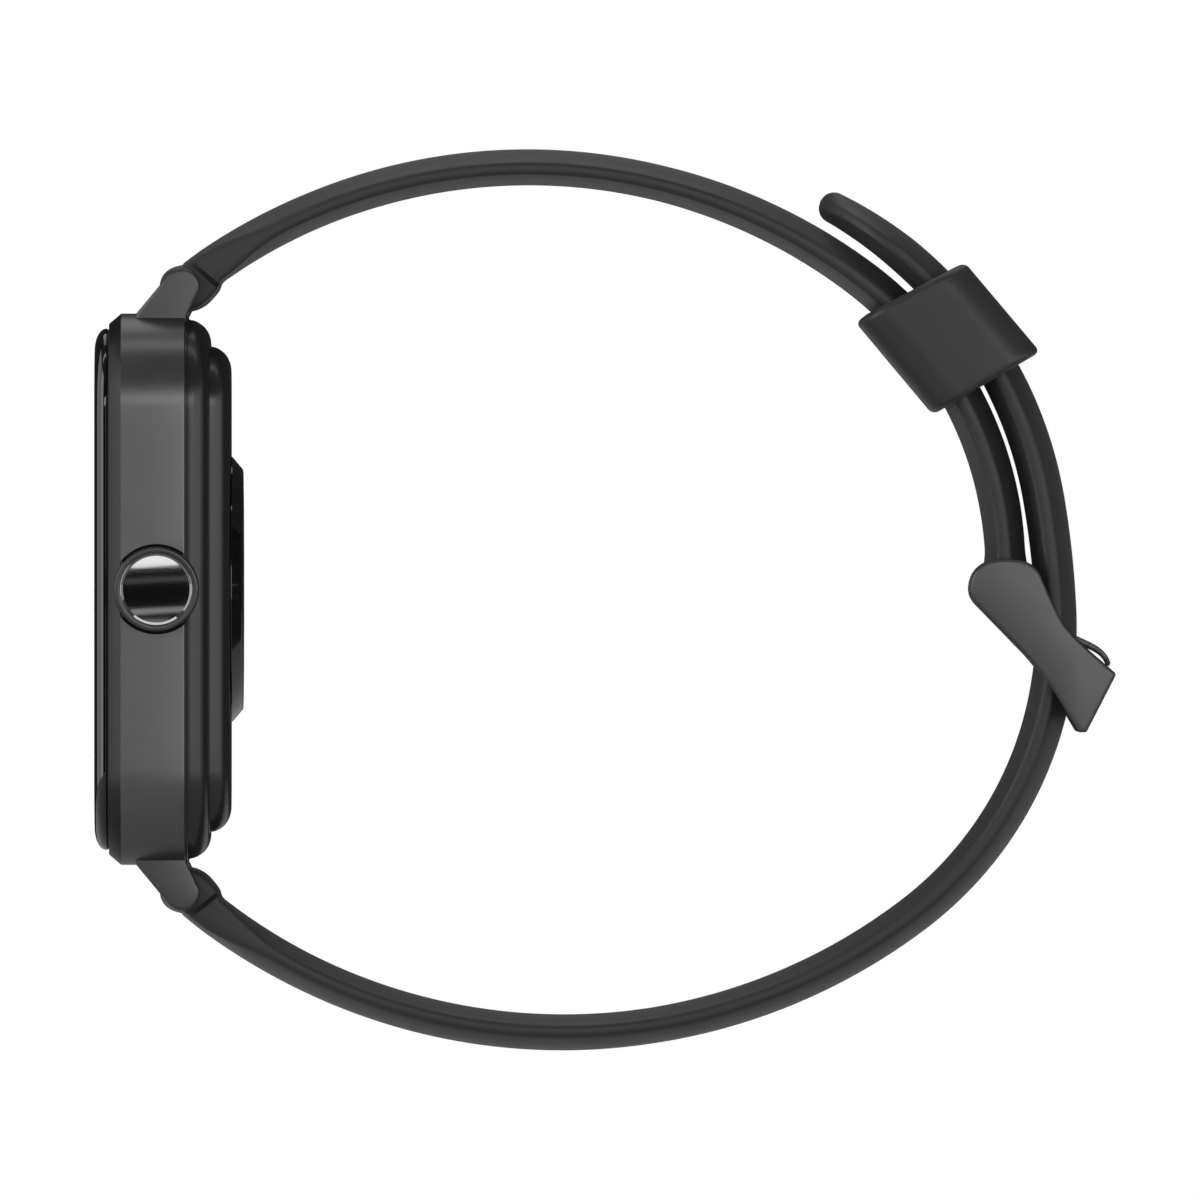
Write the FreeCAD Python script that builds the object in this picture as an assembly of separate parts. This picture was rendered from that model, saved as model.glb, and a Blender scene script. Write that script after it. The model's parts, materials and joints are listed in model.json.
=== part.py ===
import FreeCAD, Part
import math
import os

# Rectangular smartwatch on a closed rubber strap, in millimetres.
# +Z runs to 12 o'clock, the display faces -Y, the wrist is at +Y and the crown is at +X.
# The origin is the centre of the sensor window's flat face, where the watch meets the skin.

os.makedirs("parts", exist_ok=True)
V = FreeCAD.Vector
ALONG_X = V(1, 0, 0)
ALONG_Y = V(0, 1, 0)

# Case outline, seen from the front, and its layers from front to back.
CASE_W = 36.6
CASE_H = 44.0
CASE_CORNER = 7.5
CASE_WALL = 2.0
GLASS_FRONT = -11.8
GLASS_BACK = -10.75
RIM_FRONT = -10.65
RIM_RECESS = -10.55
FRAME_BACK = -4.57
SHELL_FRONT = -4.34
SHELL_STEP = -2.65
SHELL_BACK = -1.03
GLASS_INSET = 2.4
GLASS_ROUND = 0.85
RIM_CHAMFER = 0.9
BOND_W = 0.65
DISPLAY_INSET = 2.1
DISPLAY_BACK = -9.55

# Rear shell: how far each step stands in from the case, and its hollow.
SHELL_INSET = 1.0
SHELL_ROUND = 1.55
STEP_INSET = 5.2
STEP_ROUND = 1.5
HOLLOW_INSET = 6.4
DEEP_INSET = 9.6
SEAL_INSET = 1.6
SEAL_W = 1.3

# Sensor window, round and raised towards the skin.
WINDOW_R = 10.6
WINDOW_FACE_R = 9.6
WINDOW_STEM_R = 9.9
WINDOW_INSIDE = -2.2
SENSOR_BOARD_R = 8.6
SENSOR_BOARD_Y = (-3.15, -2.65)
LAMP_FRONT = -2.3
LAMPS = [(0, 0, 1.3), (-3.4, 0, 1.0), (3.4, 0, 1.0), (0, 3.6, 0.8), (0, -3.6, 0.8)]

# Charging contacts and magnets beside the sensor window.
CONTACT_R = 1.1
CONTACT_X = 2.4
CONTACT_Z = -14.2
CONTACT_Y = (-3.0, -1.08)
MAGNET_R = 1.9
MAGNET_X = 7.0
MAGNET_Y = (-3.5, -2.3)
GLUE_GAP = 0.02

# Inside the case, each piece as its low and high ends on X, Y and Z.
BRACKET_Y = (-9.3, -8.8)
BOARD_X = (-5.4, 14.6)
BOARD_Y = (-8.5, -7.7)
BOARD_Z = (3.2, 18.4)
SCREW_SPOTS = [(-3.5, 4.6), (12.6, 4.8), (12.0, 17.0)]
SCREW_R = 0.5
SCREW_HEAD_R = 1.0
SCREW_HEAD_T = 0.45
CAN_X = (-1.8, 10.8)
CAN_BACK = -6.0
CAN_Z = (5.4, 15.2)
CAN_WALL = 0.2
CHIPS = [((-1.0, 4.2), -6.7, (7.4, 12.6)), ((5.4, 9.6), -6.9, (6.4, 10.4))]
CELL_X = (-14.2, 14.2)
CELL_Y = (-8.6, -5.1)
CELL_Z = (-18.4, -3.6)
MOTOR_R = 4.0
MOTOR_Y = (-8.75, -6.0)
MOTOR_SPOT = (-10.6, 10.4)
RIBBON_T = 0.12
RIBBON_HALF = 3.5
RIBBON_TOP = 19.3

# Crown on the +X side.
CROWN_Y = -6.82
CROWN_R = 3.36
CROWN_POCKET_R = 3.6
CROWN_OUT = 1.3
CROWN_FLOOR = 1.0
CROWN_TRAVEL = 0.3
CROWN_LIP = 0.48
CROWN_CUP = 0.35
CROWN_TEETH = 36
TOOTH_R = 0.16
STEM_R = 0.8
TUBE_R = 1.5
BOSS_DEPTH = 1.6
BOSS_HALF = (1.85, 2.4)
SEAL_R = 0.14
CLIP_R = 1.35
CLIP_NECK_R = 0.5

# Lugs and spring bars; each lug pair stands on one end of the case.
LUG_Y = -4.6
LUG_Z = 24.3
LUG_R = 1.4
LUG_INNER = 10.15
LUG_OUTER = 13.1
LUG_FOOT = (-8.36, -4.57)
BAR_R = 0.75
BAR_BORE_R = 0.5
TIP_R = 0.42
TIP_HOLE_R = 0.5
TIP_REACH = 11.3
BAR_HALF = 9.7
RELEASE_TRAVEL = 1.3
KNOB_X = 6.4
KNOB_LENGTH = 2.05
SPRING_R = 0.32
SPRING_WIRE_R = 0.08
SPRING_TURNS = 7

# Strap section and its centre line: tangent arcs as (radius, degrees turned).
STRAP_W = 22.0
STRAP_ROOT_W = 20.0
STRAP_T = 2.9
STRAP_SIDE = 1.65
STRAP_EDGE = 0.4
BARREL_R = 2.1
SHOULDER = 1.75
FLEX_GAP = 0.3
SHORT_HEADING = 38.12
SHORT_ARCS = [(44.31, 74.79), (29.12, 56.57)]
SHORT_FLEX = 66.6
LONG_HEADING = -40.58
LONG_ARCS = [(46.37, 77.85), (28.82, 55.21), (71.42, 7.29), (32.67, 54.23)]
LONG_FLEX = 64.1

# Holes along the long strap, measured back from its tip.
HOLE_FIRST = 14.9
HOLE_PITCH = 6.5
HOLE_COUNT = 8
HOLE_W = 2.6
HOLE_L = 4.6
TIP_LENGTH = 8.0

# Keeper: a band round both layers.
KEEPER_CORNERS = [(49.24, 21.70), (57.48, 25.94), (63.48, 18.90), (55.40, 14.34)]
KEEPER_ROUND = 1.0
KEEPER_HALF = 12.7
KEEPER_GAP = 0.28

# Buckle on the end of the short strap.
PLATE_IN = 11.35
PLATE_OUT = 12.75
PIN_R = 0.75
PIN_BORE_R = 0.8
PIN_REACH = 12.6
PLATE_EYE_R = 2.8
END_BARREL_R = 1.9
TONGUE_HALF = 1.0
TONGUE_T = 0.6
TONGUE_EYE_R = 1.5
NOTCH_HALF = 1.5

# Buckle outline and tongue line in the YZ plane, with the buckle closed.
PLATE_OUTLINE = [
    (58.95, -2.02), (63.3, -6.06), (66.2, -11.2), (67.32, -11.26), (69.5, -6.85),
    (68.6, -5.95), (66.9, -4.3), (65.0, -1.9), (63.56, 0.88),
]
BAR_OUTLINE = [(66.9, -6.2), (68.6, -5.95), (69.5, -6.85), (67.32, -11.26), (66.2, -11.2)]
TONGUE_LINE = [(61.5, -0.72), (63.5, -2.35), (66.3, -3.9), (67.9, -4.7), (68.8, -5.35), (69.22, -6.0)]


def save(name, shape):
    """Write one sub-part to its own file."""
    shape.exportStep("parts/" + name + ".step")


def block(x, y, z):
    """Box between the low and high ends given on each axis."""
    return Part.makeBox(x[1] - x[0], y[1] - y[0], z[1] - z[0], V(x[0], y[0], z[0]))


def disc(radius, y, x=0.0, z=0.0):
    """Cylinder along Y between the two ends of y."""
    return Part.makeCylinder(radius, y[1] - y[0], V(x, y[0], z), ALONG_Y)


def rod(radius, x, y, z):
    """Cylinder along X between the two ends of x."""
    return Part.makeCylinder(radius, x[1] - x[0], V(x[0], y, z), ALONG_X)


def slab(width, height, corner, y):
    """Rounded rectangle seen from the front, between the two ends of y."""
    body = block((-width / 2, width / 2), y, (-height / 2, height / 2))
    upright = [e for e in body.Edges if e.BoundBox.YLength > 0.9 * (y[1] - y[0])]
    return body.makeFillet(corner, upright)


def inset_slab(inset, y):
    """Slab of the case outline made smaller by inset across."""
    return slab(CASE_W - inset, CASE_H - inset, CASE_CORNER - inset / 2, y)


def outline_at(shape, y):
    """Edges of the outer outline that lie in the plane at y."""
    return [e for e in shape.Edges if abs(e.BoundBox.YMin - y) < 1e-4 and e.BoundBox.YLength < 1e-4]


def prism(points, x):
    """Polygon in the YZ plane, extruded along X between the two ends of x."""
    corners = [V(x[0], y, z) for y, z in points]
    face = Part.Face(Part.makePolygon(corners + corners[:1]))
    return face.extrude(V(x[1] - x[0], 0, 0))


def chain(start, heading, arcs, turn):
    """Centres, radii and end angles of tangent arcs; turn is +1 anticlockwise about +X."""
    side = math.radians(heading + 90 * turn)
    radius = arcs[0][0]
    centre = (start[0] + radius * math.cos(side), start[1] + radius * math.sin(side))
    angle = heading - 90 * turn
    out = []
    for index, (radius, sweep) in enumerate(arcs):
        if index:
            step = out[-1][1] - radius
            back = math.radians(angle)
            centre = (centre[0] + step * math.cos(back), centre[1] + step * math.sin(back))
        out.append((centre, radius, angle, angle + turn * sweep))
        angle += turn * sweep
    return out


def on_arc(arc, angle, offset=0.0):
    """Point of an arc at an angle in degrees, moved outwards by offset."""
    centre, radius = arc[0], arc[1] + offset
    turned = math.radians(angle)
    return (centre[0] + radius * math.cos(turned), centre[1] + radius * math.sin(turned))


def strap_face(arc, angle, width):
    """Strap section across one arc: flat inside, short side walls and a crowned outside."""
    half = width / 2
    inside = -STRAP_T / 2
    wall = inside + STRAP_SIDE

    def place(x, offset):
        y, z = on_arc(arc, angle, offset)
        return V(x, y, z)

    cut = STRAP_EDGE * (1 - math.sqrt(0.5))
    flat = half - STRAP_EDGE
    rise = inside + STRAP_EDGE
    edges = [
        Part.LineSegment(place(-flat, inside), place(flat, inside)),
        Part.Arc(place(flat, inside), place(half - cut, inside + cut), place(half, rise)),
        Part.LineSegment(place(half, rise), place(half, wall)),
        Part.Arc(place(half, wall), place(0, STRAP_T / 2), place(-half, wall)),
        Part.LineSegment(place(-half, wall), place(-half, rise)),
        Part.Arc(place(-half, rise), place(cut - half, inside + cut), place(-flat, inside)),
    ]
    return Part.Face(Part.Wire([edge.toShape() for edge in edges]))


def strap_run(arc, first, last, width):
    """Strap section carried round one arc between two angles."""
    low, high = sorted((first, last))
    centre = V(0, arc[0][0], arc[0][1])
    return strap_face(arc, low, width).revolve(centre, ALONG_X, high - low)


def across(arc, angle, width, length, depth):
    """Racetrack cutter through the strap at one place on an arc, its length along the strap."""
    half = width / 2
    straight = (length - width) / 2
    shape = block((-half, half), (-depth, depth), (-straight, straight))
    for side in (-1, 1):
        shape = shape.fuse(disc(half, (-depth, depth), 0, side * straight))
    shape.rotate(V(0, 0, 0), ALONG_X, angle)
    y, z = on_arc(arc, angle)
    shape.translate(V(0, y, z))
    return shape


SHORT = chain((LUG_Y, LUG_Z), SHORT_HEADING, SHORT_ARCS, -1)
LONG = chain((LUG_Y, -LUG_Z), LONG_HEADING, LONG_ARCS, 1)
LAP = SHORT[1]
PIVOT = on_arc(LAP, LAP[3])


def case_front():
    """Cover glass, its adhesive and the display bonded under it."""
    glass = inset_slab(GLASS_INSET, (GLASS_FRONT, GLASS_BACK))
    save("cover_glass", glass.makeFillet(GLASS_ROUND, outline_at(glass, GLASS_FRONT)))
    bond = inset_slab(GLASS_INSET + 0.2, (GLASS_BACK, RIM_RECESS))
    inside = inset_slab(GLASS_INSET + 0.2 + 2 * BOND_W, (GLASS_BACK - 1, RIM_RECESS + 1))
    save("display_adhesive", bond.cut(inside))
    save("display_panel", inset_slab(GLASS_INSET + DISPLAY_INSET, (GLASS_BACK, DISPLAY_BACK)))


def lug(side_x, side_z):
    """One lug: a slanted finger with a round end on the spring-bar axis."""
    x = (LUG_INNER, LUG_OUTER) if side_x > 0 else (-LUG_OUTER, -LUG_INNER)
    front_touch = math.radians(145)
    rear_touch = math.radians(-15)
    root_z = LUG_Z - 4.2
    foot_z = LUG_Z - 2.6
    points = [
        (LUG_FOOT[0], root_z),
        (LUG_FOOT[0], foot_z),
        (LUG_Y + LUG_R * math.cos(front_touch), LUG_Z + LUG_R * math.sin(front_touch)),
        (LUG_Y + LUG_R * math.cos(rear_touch), LUG_Z + LUG_R * math.sin(rear_touch)),
        (LUG_FOOT[1] + 0.15, foot_z + 0.4),
        (LUG_FOOT[1], foot_z),
        (LUG_FOOT[1], root_z),
    ]
    shape = prism([(y, side_z * z) for y, z in points], x)
    shape = shape.fuse(rod(LUG_R, x, LUG_Y, side_z * LUG_Z))
    hole_x = (LUG_INNER - 1, TIP_REACH + 0.2) if side_x > 0 else (-TIP_REACH - 0.2, 1 - LUG_INNER)
    return shape, rod(TIP_HOLE_R, hole_x, LUG_Y, side_z * LUG_Z)


def mid_frame():
    """Metal ring of the case, with the four lugs, the crown pocket and the crown's boss."""
    frame = inset_slab(0, (RIM_FRONT, FRAME_BACK))
    frame = frame.makeChamfer(RIM_CHAMFER, outline_at(frame, RIM_FRONT))
    frame = frame.cut(inset_slab(2 * CASE_WALL, (RIM_FRONT - 1, FRAME_BACK + 1)))
    frame = frame.cut(inset_slab(GLASS_INSET, (RIM_FRONT - 1, RIM_RECESS)))
    wall_x = CASE_W / 2 - CASE_WALL
    boss_y = (CROWN_Y - BOSS_HALF[0], CROWN_Y + BOSS_HALF[0])
    boss_z = (-BOSS_HALF[1], BOSS_HALF[1])
    frame = frame.fuse(block((wall_x - BOSS_DEPTH, wall_x + 0.5), boss_y, boss_z))
    holes = []
    for side_x in (-1, 1):
        for side_z in (-1, 1):
            finger, hole = lug(side_x, side_z)
            frame = frame.fuse(finger)
            holes.append(hole)
    for hole in holes:
        frame = frame.cut(hole)
    pocket = rod(CROWN_POCKET_R, (CASE_W / 2 - CROWN_FLOOR, CASE_W), CROWN_Y, 0)
    frame = frame.cut(pocket).cut(rod(TUBE_R, (wall_x - 3, CASE_W), CROWN_Y, 0))
    save("mid_frame", frame.removeSplitter())


def back_cover():
    """Stepped rear shell with its hollow, the sensor hole and the contact holes."""
    lower = inset_slab(SHELL_INSET, (SHELL_FRONT, SHELL_STEP))
    lower = lower.makeFillet(SHELL_ROUND, outline_at(lower, SHELL_STEP))
    upper = inset_slab(STEP_INSET, (SHELL_STEP - 0.3, SHELL_BACK))
    upper = upper.makeFillet(STEP_ROUND, outline_at(upper, SHELL_BACK))
    shell = lower.fuse(upper)
    shell = shell.cut(inset_slab(HOLLOW_INSET, (SHELL_FRONT - 1, SHELL_STEP - 0.5)))
    shell = shell.cut(inset_slab(DEEP_INSET, (SHELL_FRONT - 1, WINDOW_INSIDE)))
    shell = shell.cut(disc(WINDOW_STEM_R + GLUE_GAP, (SHELL_FRONT - 1, 1)))
    for side in (-1, 1):
        shell = shell.cut(disc(CONTACT_R + GLUE_GAP, (SHELL_FRONT - 1, 1), side * CONTACT_X, CONTACT_Z))
    pocket = rod(CROWN_POCKET_R, (CASE_W / 2 - CROWN_FLOOR, CASE_W), CROWN_Y, 0)
    save("back_cover", shell.cut(pocket).removeSplitter())
    seal = inset_slab(SEAL_INSET, (FRAME_BACK, SHELL_FRONT))
    inner = inset_slab(SEAL_INSET + 2 * SEAL_W, (FRAME_BACK - 1, SHELL_FRONT + 1))
    save("back_seal", seal.cut(inner).cut(pocket))


def sensor_group():
    """Sensor window, its board and lamps, and the charging contacts and magnets."""
    window = disc(WINDOW_STEM_R, (WINDOW_INSIDE, SHELL_BACK))
    rise = Part.makeCone(WINDOW_R, WINDOW_FACE_R, -SHELL_BACK, V(0, SHELL_BACK, 0), ALONG_Y)
    save("sensor_window", window.fuse(rise))
    save("sensor_board", disc(SENSOR_BOARD_R, SENSOR_BOARD_Y))
    lamps = []
    for x, z, size in LAMPS:
        lamps.append(block((x - size, x + size), (SENSOR_BOARD_Y[1], LAMP_FRONT), (z - size, z + size)))
    save("sensor_lamps", Part.makeCompound(lamps))
    contacts = []
    magnets = []
    for side in (-1, 1):
        contacts.append(disc(CONTACT_R, CONTACT_Y, side * CONTACT_X, CONTACT_Z))
        magnets.append(disc(MAGNET_R, MAGNET_Y, side * MAGNET_X, CONTACT_Z))
    save("charge_contacts", Part.makeCompound(contacts))
    save("charge_magnets", Part.makeCompound(magnets))


def inner_group():
    """Bracket, board, shield, screws, battery, vibration motor and flat cables."""
    through = (BRACKET_Y[0] - 1, BRACKET_Y[1] + 1)
    bracket = inset_slab(2 * CASE_WALL + 0.6, BRACKET_Y)
    bracket = bracket.cut(block((-RIBBON_HALF - 0.7, RIBBON_HALF + 0.7), through, (RIBBON_TOP - 0.6, CASE_H)))
    bracket = bracket.cut(block((-10, 10), through, (-14, -6)))
    screws = []
    board = block(BOARD_X, BOARD_Y, BOARD_Z)
    for x, z in SCREW_SPOTS:
        bracket = bracket.fuse(disc(2 * SCREW_R + 0.1, (BRACKET_Y[1] - 0.1, BOARD_Y[0]), x, z))
        bracket = bracket.cut(disc(SCREW_R + GLUE_GAP, (BRACKET_Y[0] - 0.1, BOARD_Y[0] + 0.1), x, z))
        board = board.cut(disc(SCREW_R + 0.1, (BOARD_Y[0] - 1, BOARD_Y[1] + 1), x, z))
        shank = disc(SCREW_R, (BRACKET_Y[0] + 0.1, BOARD_Y[1]), x, z)
        screws.append(shank.fuse(disc(SCREW_HEAD_R, (BOARD_Y[1], BOARD_Y[1] + SCREW_HEAD_T), x, z)))
    save("inner_bracket", bracket)
    save("main_board", board)
    save("board_screws", Part.makeCompound(screws))
    can = block(CAN_X, (BOARD_Y[1], CAN_BACK), CAN_Z)
    can = can.makeFillet(0.8, [e for e in can.Edges if e.BoundBox.YLength > 1])
    hollow_x = (CAN_X[0] + CAN_WALL, CAN_X[1] - CAN_WALL)
    hollow_z = (CAN_Z[0] + CAN_WALL, CAN_Z[1] - CAN_WALL)
    save("shield_can", can.cut(block(hollow_x, (BOARD_Y[1], CAN_BACK - CAN_WALL), hollow_z)))
    chips = [block(x, (BOARD_Y[1], back), z) for x, back, z in CHIPS]
    save("board_chips", Part.makeCompound(chips))
    cell = block(CELL_X, CELL_Y, CELL_Z)
    save("battery", cell.makeFillet(0.7, [e for e in cell.Edges if e.BoundBox.YLength > 3]))
    save("vibration_motor", disc(MOTOR_R, MOTOR_Y, *MOTOR_SPOT))
    ribbon_x = (-RIBBON_HALF, RIBBON_HALF)
    board_face = (BOARD_Y[1], BOARD_Y[1] + RIBBON_T)
    ribbon = block(ribbon_x, (DISPLAY_BACK, DISPLAY_BACK + RIBBON_T), (14.5, RIBBON_TOP))
    ribbon = ribbon.fuse(block(ribbon_x, (DISPLAY_BACK, board_face[1]), (RIBBON_TOP - RIBBON_T, RIBBON_TOP)))
    ribbon = ribbon.fuse(block(ribbon_x, board_face, (16.2, RIBBON_TOP)))
    save("display_ribbon", ribbon)
    save("sensor_ribbon", block((-1.4, 1.4), (BOARD_Y[1], SENSOR_BOARD_Y[0]), (3.5, 3.5 + RIBBON_T)))


def crown_knob(floor_x, out_x):
    """Knob of the crown: a toothed rim round a shallow cup, with the polished cap in the cup."""
    cup_x = out_x - CROWN_CUP
    knob = rod(CROWN_R, (floor_x + CROWN_TRAVEL + 0.1, out_x), CROWN_Y, 0)
    knob = knob.makeFillet(0.3, [e for e in knob.Edges if e.BoundBox.XMin > floor_x + 1])
    knob = knob.cut(rod(CROWN_R - CROWN_LIP, (cup_x, out_x + 1), CROWN_Y, 0))
    ring = CROWN_R + TOOTH_R / 2
    for index in range(CROWN_TEETH):
        turn = 2 * math.pi * index / CROWN_TEETH
        groove = rod(TOOTH_R, (floor_x, cup_x), CROWN_Y + ring * math.cos(turn), ring * math.sin(turn))
        knob = knob.cut(groove)
    save("crown_knob", knob)
    cap = rod(CROWN_R - CROWN_LIP - GLUE_GAP, (cup_x, out_x - 0.05), CROWN_Y, 0)
    save("crown_cap", cap.makeFillet(0.15, [e for e in cap.Edges if e.BoundBox.XMin > cup_x + 0.1]))


def crown_group():
    """Crown with its stem, clip, tube and seal, and the switch that it presses."""
    face_x = CASE_W / 2
    floor_x = face_x - CROWN_FLOOR
    wall_x = face_x - CASE_WALL
    tube_end = wall_x - BOSS_DEPTH
    crown_knob(floor_x, face_x + CROWN_OUT)
    groove = (wall_x - 0.1, wall_x + 0.6)
    tube = rod(TUBE_R, (tube_end, floor_x), CROWN_Y, 0)
    tube = tube.cut(rod(STEM_R + 0.05, (tube_end - 1, floor_x + 1), CROWN_Y, 0))
    save("crown_tube", tube.cut(rod(STEM_R + 2.5 * SEAL_R, groove, CROWN_Y, 0)))
    ring = Part.makeTorus(STEM_R + 1.2 * SEAL_R, SEAL_R, V(sum(groove) / 2, CROWN_Y, 0), ALONG_X)
    save("crown_seal", ring)
    stem_end = tube_end - 1.0
    clip_x = (tube_end - 0.45, tube_end - 0.1)
    neck = rod(STEM_R + 1, clip_x, CROWN_Y, 0).cut(rod(CLIP_NECK_R, clip_x, CROWN_Y, 0))
    save("crown_stem", rod(STEM_R, (stem_end, floor_x + CROWN_TRAVEL + 0.1), CROWN_Y, 0).cut(neck))
    clip = rod(CLIP_R, (clip_x[0] + GLUE_GAP, clip_x[1] - GLUE_GAP), CROWN_Y, 0)
    clip = clip.cut(rod(CLIP_NECK_R + GLUE_GAP, clip_x, CROWN_Y, 0))
    save("crown_clip", clip.cut(block(clip_x, (CROWN_Y - 0.3, CROWN_Y + 0.3), (-2, 0))))
    plate_x = (stem_end - 0.25, stem_end)
    save("crown_pusher", block(plate_x, (CROWN_Y - 1.2, CROWN_Y + 1.2), (-1.6, 1.6)))
    plunger_x = (plate_x[0] - 0.75, plate_x[0])
    save("switch_plunger", rod(0.6, plunger_x, CROWN_Y, 0))
    switch_x = (plate_x[0] - 2.3, plate_x[0] - CROWN_TRAVEL - 0.1)
    switch = block(switch_x, (CROWN_Y - 1.3, CROWN_Y + 1.3), (-1.7, 1.7))
    well = rod(0.66, (plunger_x[0] - CROWN_TRAVEL - 0.1, stem_end), CROWN_Y, 0)
    save("crown_switch", switch.cut(well))


def coil(name, x, y, z):
    """Small compression spring: a round wire along a helix about X, inside a spring bar."""
    length = x[1] - x[0]
    helix = Part.makeHelix(length / SPRING_TURNS, length, SPRING_R)
    helix.rotate(V(0, 0, 0), V(0, 1, 0), 90)
    helix.translate(V(x[0], y, z))
    begin = helix.Edges[0]
    start = begin.valueAt(begin.FirstParameter)
    lead = begin.tangentAt(begin.FirstParameter)
    wire = Part.Wire([Part.makeCircle(SPRING_WIRE_R, start, lead)])
    save(name, Part.Wire(helix.Edges).makePipeShell([wire], True, True))


def spring_bar(name, side_z, inward):
    """Quick-release spring bar: a tube with one fixed tip, and a sliding tip with its knob."""
    z = side_z * LUG_Z
    tube = rod(BAR_R, (-BAR_HALF, BAR_HALF), LUG_Y, z)
    tube = tube.cut(rod(BAR_BORE_R, (-BAR_HALF + 1.2, BAR_HALF + 1), LUG_Y, z))
    tube = tube.fuse(rod(TIP_R, (-TIP_REACH, -BAR_HALF + 0.2), LUG_Y, z))
    slot = block((KNOB_X - RELEASE_TRAVEL - 0.6, KNOB_X + 0.6), (0, 1.2), (-0.45, 0.45))
    slot.rotate(V(0, 0, 0), ALONG_X, inward)
    slot.translate(V(0, LUG_Y, z))
    save(name + "_bar_tube", tube.cut(slot))
    tip = rod(TIP_R, (KNOB_X - 1.0, TIP_REACH), LUG_Y, z)
    knob = disc(0.38, (0, KNOB_LENGTH)).fuse(disc(0.6, (KNOB_LENGTH - 0.45, KNOB_LENGTH)))
    knob.rotate(V(0, 0, 0), ALONG_X, inward)
    knob.translate(V(KNOB_X, LUG_Y, z))
    save(name + "_bar_tip", tip.fuse(knob).removeSplitter())
    coil(name + "_bar_spring", (-2.0, KNOB_X - 1.15), LUG_Y, z)


def strap_root(arc, flex, inward):
    """Half of a strap beside the case: barrel, narrow neck and full width up to the flex line."""
    turn = 1 if arc[3] > arc[2] else -1
    shoulder = turn * math.degrees(SHOULDER / arc[1])
    gap = turn * math.degrees(FLEX_GAP / 2 / arc[1])
    axis = on_arc(arc, arc[2])
    shape = rod(BARREL_R, (-STRAP_ROOT_W / 2, STRAP_ROOT_W / 2), axis[0], axis[1])
    shape = shape.fuse(strap_run(arc, arc[2], arc[2] + 2 * shoulder, STRAP_ROOT_W))
    shape = shape.fuse(strap_run(arc, arc[2] + shoulder, arc[2] + turn * flex - gap, STRAP_W))
    slot = block((KNOB_X - RELEASE_TRAVEL - 0.8, KNOB_X + 0.8), (0, 4), (-0.75, 0.75))
    slot.rotate(V(0, 0, 0), ALONG_X, inward)
    slot.translate(V(0, axis[0], axis[1]))
    return shape.cut(rod(BAR_R + 0.05, (-11, 11), axis[0], axis[1])).cut(slot)


def short_strap():
    """Strap at 12 o'clock: it carries the buckle and the keeper."""
    first = SHORT[0]
    save("short_strap_root", strap_root(first, SHORT_FLEX, SHORT_HEADING - 90))
    gap = math.degrees(FLEX_GAP / 2 / first[1])
    shape = strap_run(first, first[2] - SHORT_FLEX - gap, first[3], STRAP_W)
    shape = shape.fuse(strap_run(LAP, LAP[2], LAP[3], STRAP_W))
    shape = shape.fuse(rod(END_BARREL_R, (-STRAP_W / 2, STRAP_W / 2), PIVOT[0], PIVOT[1]))
    shape = shape.cut(rod(PIN_BORE_R, (-12, 12), PIVOT[0], PIVOT[1]))
    notch = block((-NOTCH_HALF, NOTCH_HALF), (PIVOT[0] - 2.6, PIVOT[0] + 4), (PIVOT[1] - 4, PIVOT[1] + 2.6))
    save("short_strap_end", shape.cut(notch).removeSplitter())


def tip_plan(arc):
    """Solid that rounds the long strap's tip as seen square on: a half ellipse on a block."""
    half = STRAP_W / 2 + 0.01
    ellipse = Part.Ellipse(V(0, 0, 0), half, TIP_LENGTH)
    plan = Part.Face(Part.Wire(ellipse.toShape())).extrude(V(0, 0, 12))
    plan = plan.fuse(Part.makeBox(2 * half, 60, 12, V(-half, -60, 0)))
    plan.translate(V(0, 0, -6))
    plan.rotate(V(0, 0, 0), ALONG_X, 90)
    start = arc[3] - math.degrees(TIP_LENGTH / arc[1])
    plan.rotate(V(0, 0, 0), ALONG_X, start)
    y, z = on_arc(arc, start)
    plan.translate(V(0, y, z))
    return plan


def long_strap():
    """Strap at 6 o'clock: its tail passes through the buckle and the keeper."""
    first = LONG[0]
    save("long_strap_root", strap_root(first, LONG_FLEX, LONG_HEADING + 90))
    gap = math.degrees(FLEX_GAP / 2 / first[1])
    shape = strap_run(first, first[2] + LONG_FLEX + gap, first[3], STRAP_W)
    for arc in LONG[1:-1]:
        shape = shape.fuse(strap_run(arc, arc[2], arc[3], STRAP_W))
    last = LONG[-1]
    tail_start = last[3] - math.degrees(3 * TIP_LENGTH / last[1])
    tail = strap_run(last, tail_start, last[3], STRAP_W).common(tip_plan(last))
    shape = shape.fuse(strap_run(last, last[2], tail_start, STRAP_W)).fuse(tail)
    for index in range(HOLE_COUNT):
        left = HOLE_FIRST + index * HOLE_PITCH
        for arc in reversed(LONG):
            length = arc[1] * math.radians(abs(arc[3] - arc[2]))
            if left <= length:
                break
            left -= length
        angle = arc[3] - math.degrees(left / arc[1])
        shape = shape.cut(across(arc, angle, HOLE_W, HOLE_L, STRAP_T))
    save("long_strap_end", shape.removeSplitter())


def keeper():
    """Band round both layers, leaning as it lies on the strap."""
    body = prism(KEEPER_CORNERS, (-KEEPER_HALF, KEEPER_HALF))
    body = body.makeFillet(KEEPER_ROUND, [e for e in body.Edges if e.BoundBox.XLength > KEEPER_HALF])
    inner = LAP[1] - STRAP_T / 2 - KEEPER_GAP
    outer = LONG[-1][1] + STRAP_T / 2 + KEEPER_GAP
    half = STRAP_W / 2 + KEEPER_GAP
    centre = V(-half, LAP[0][0], LAP[0][1])
    band = Part.makeCylinder(outer, 2 * half, centre, ALONG_X)
    band = band.cut(Part.makeCylinder(inner, 2 * half, centre, ALONG_X))
    save("strap_keeper", body.cut(band))


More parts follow.
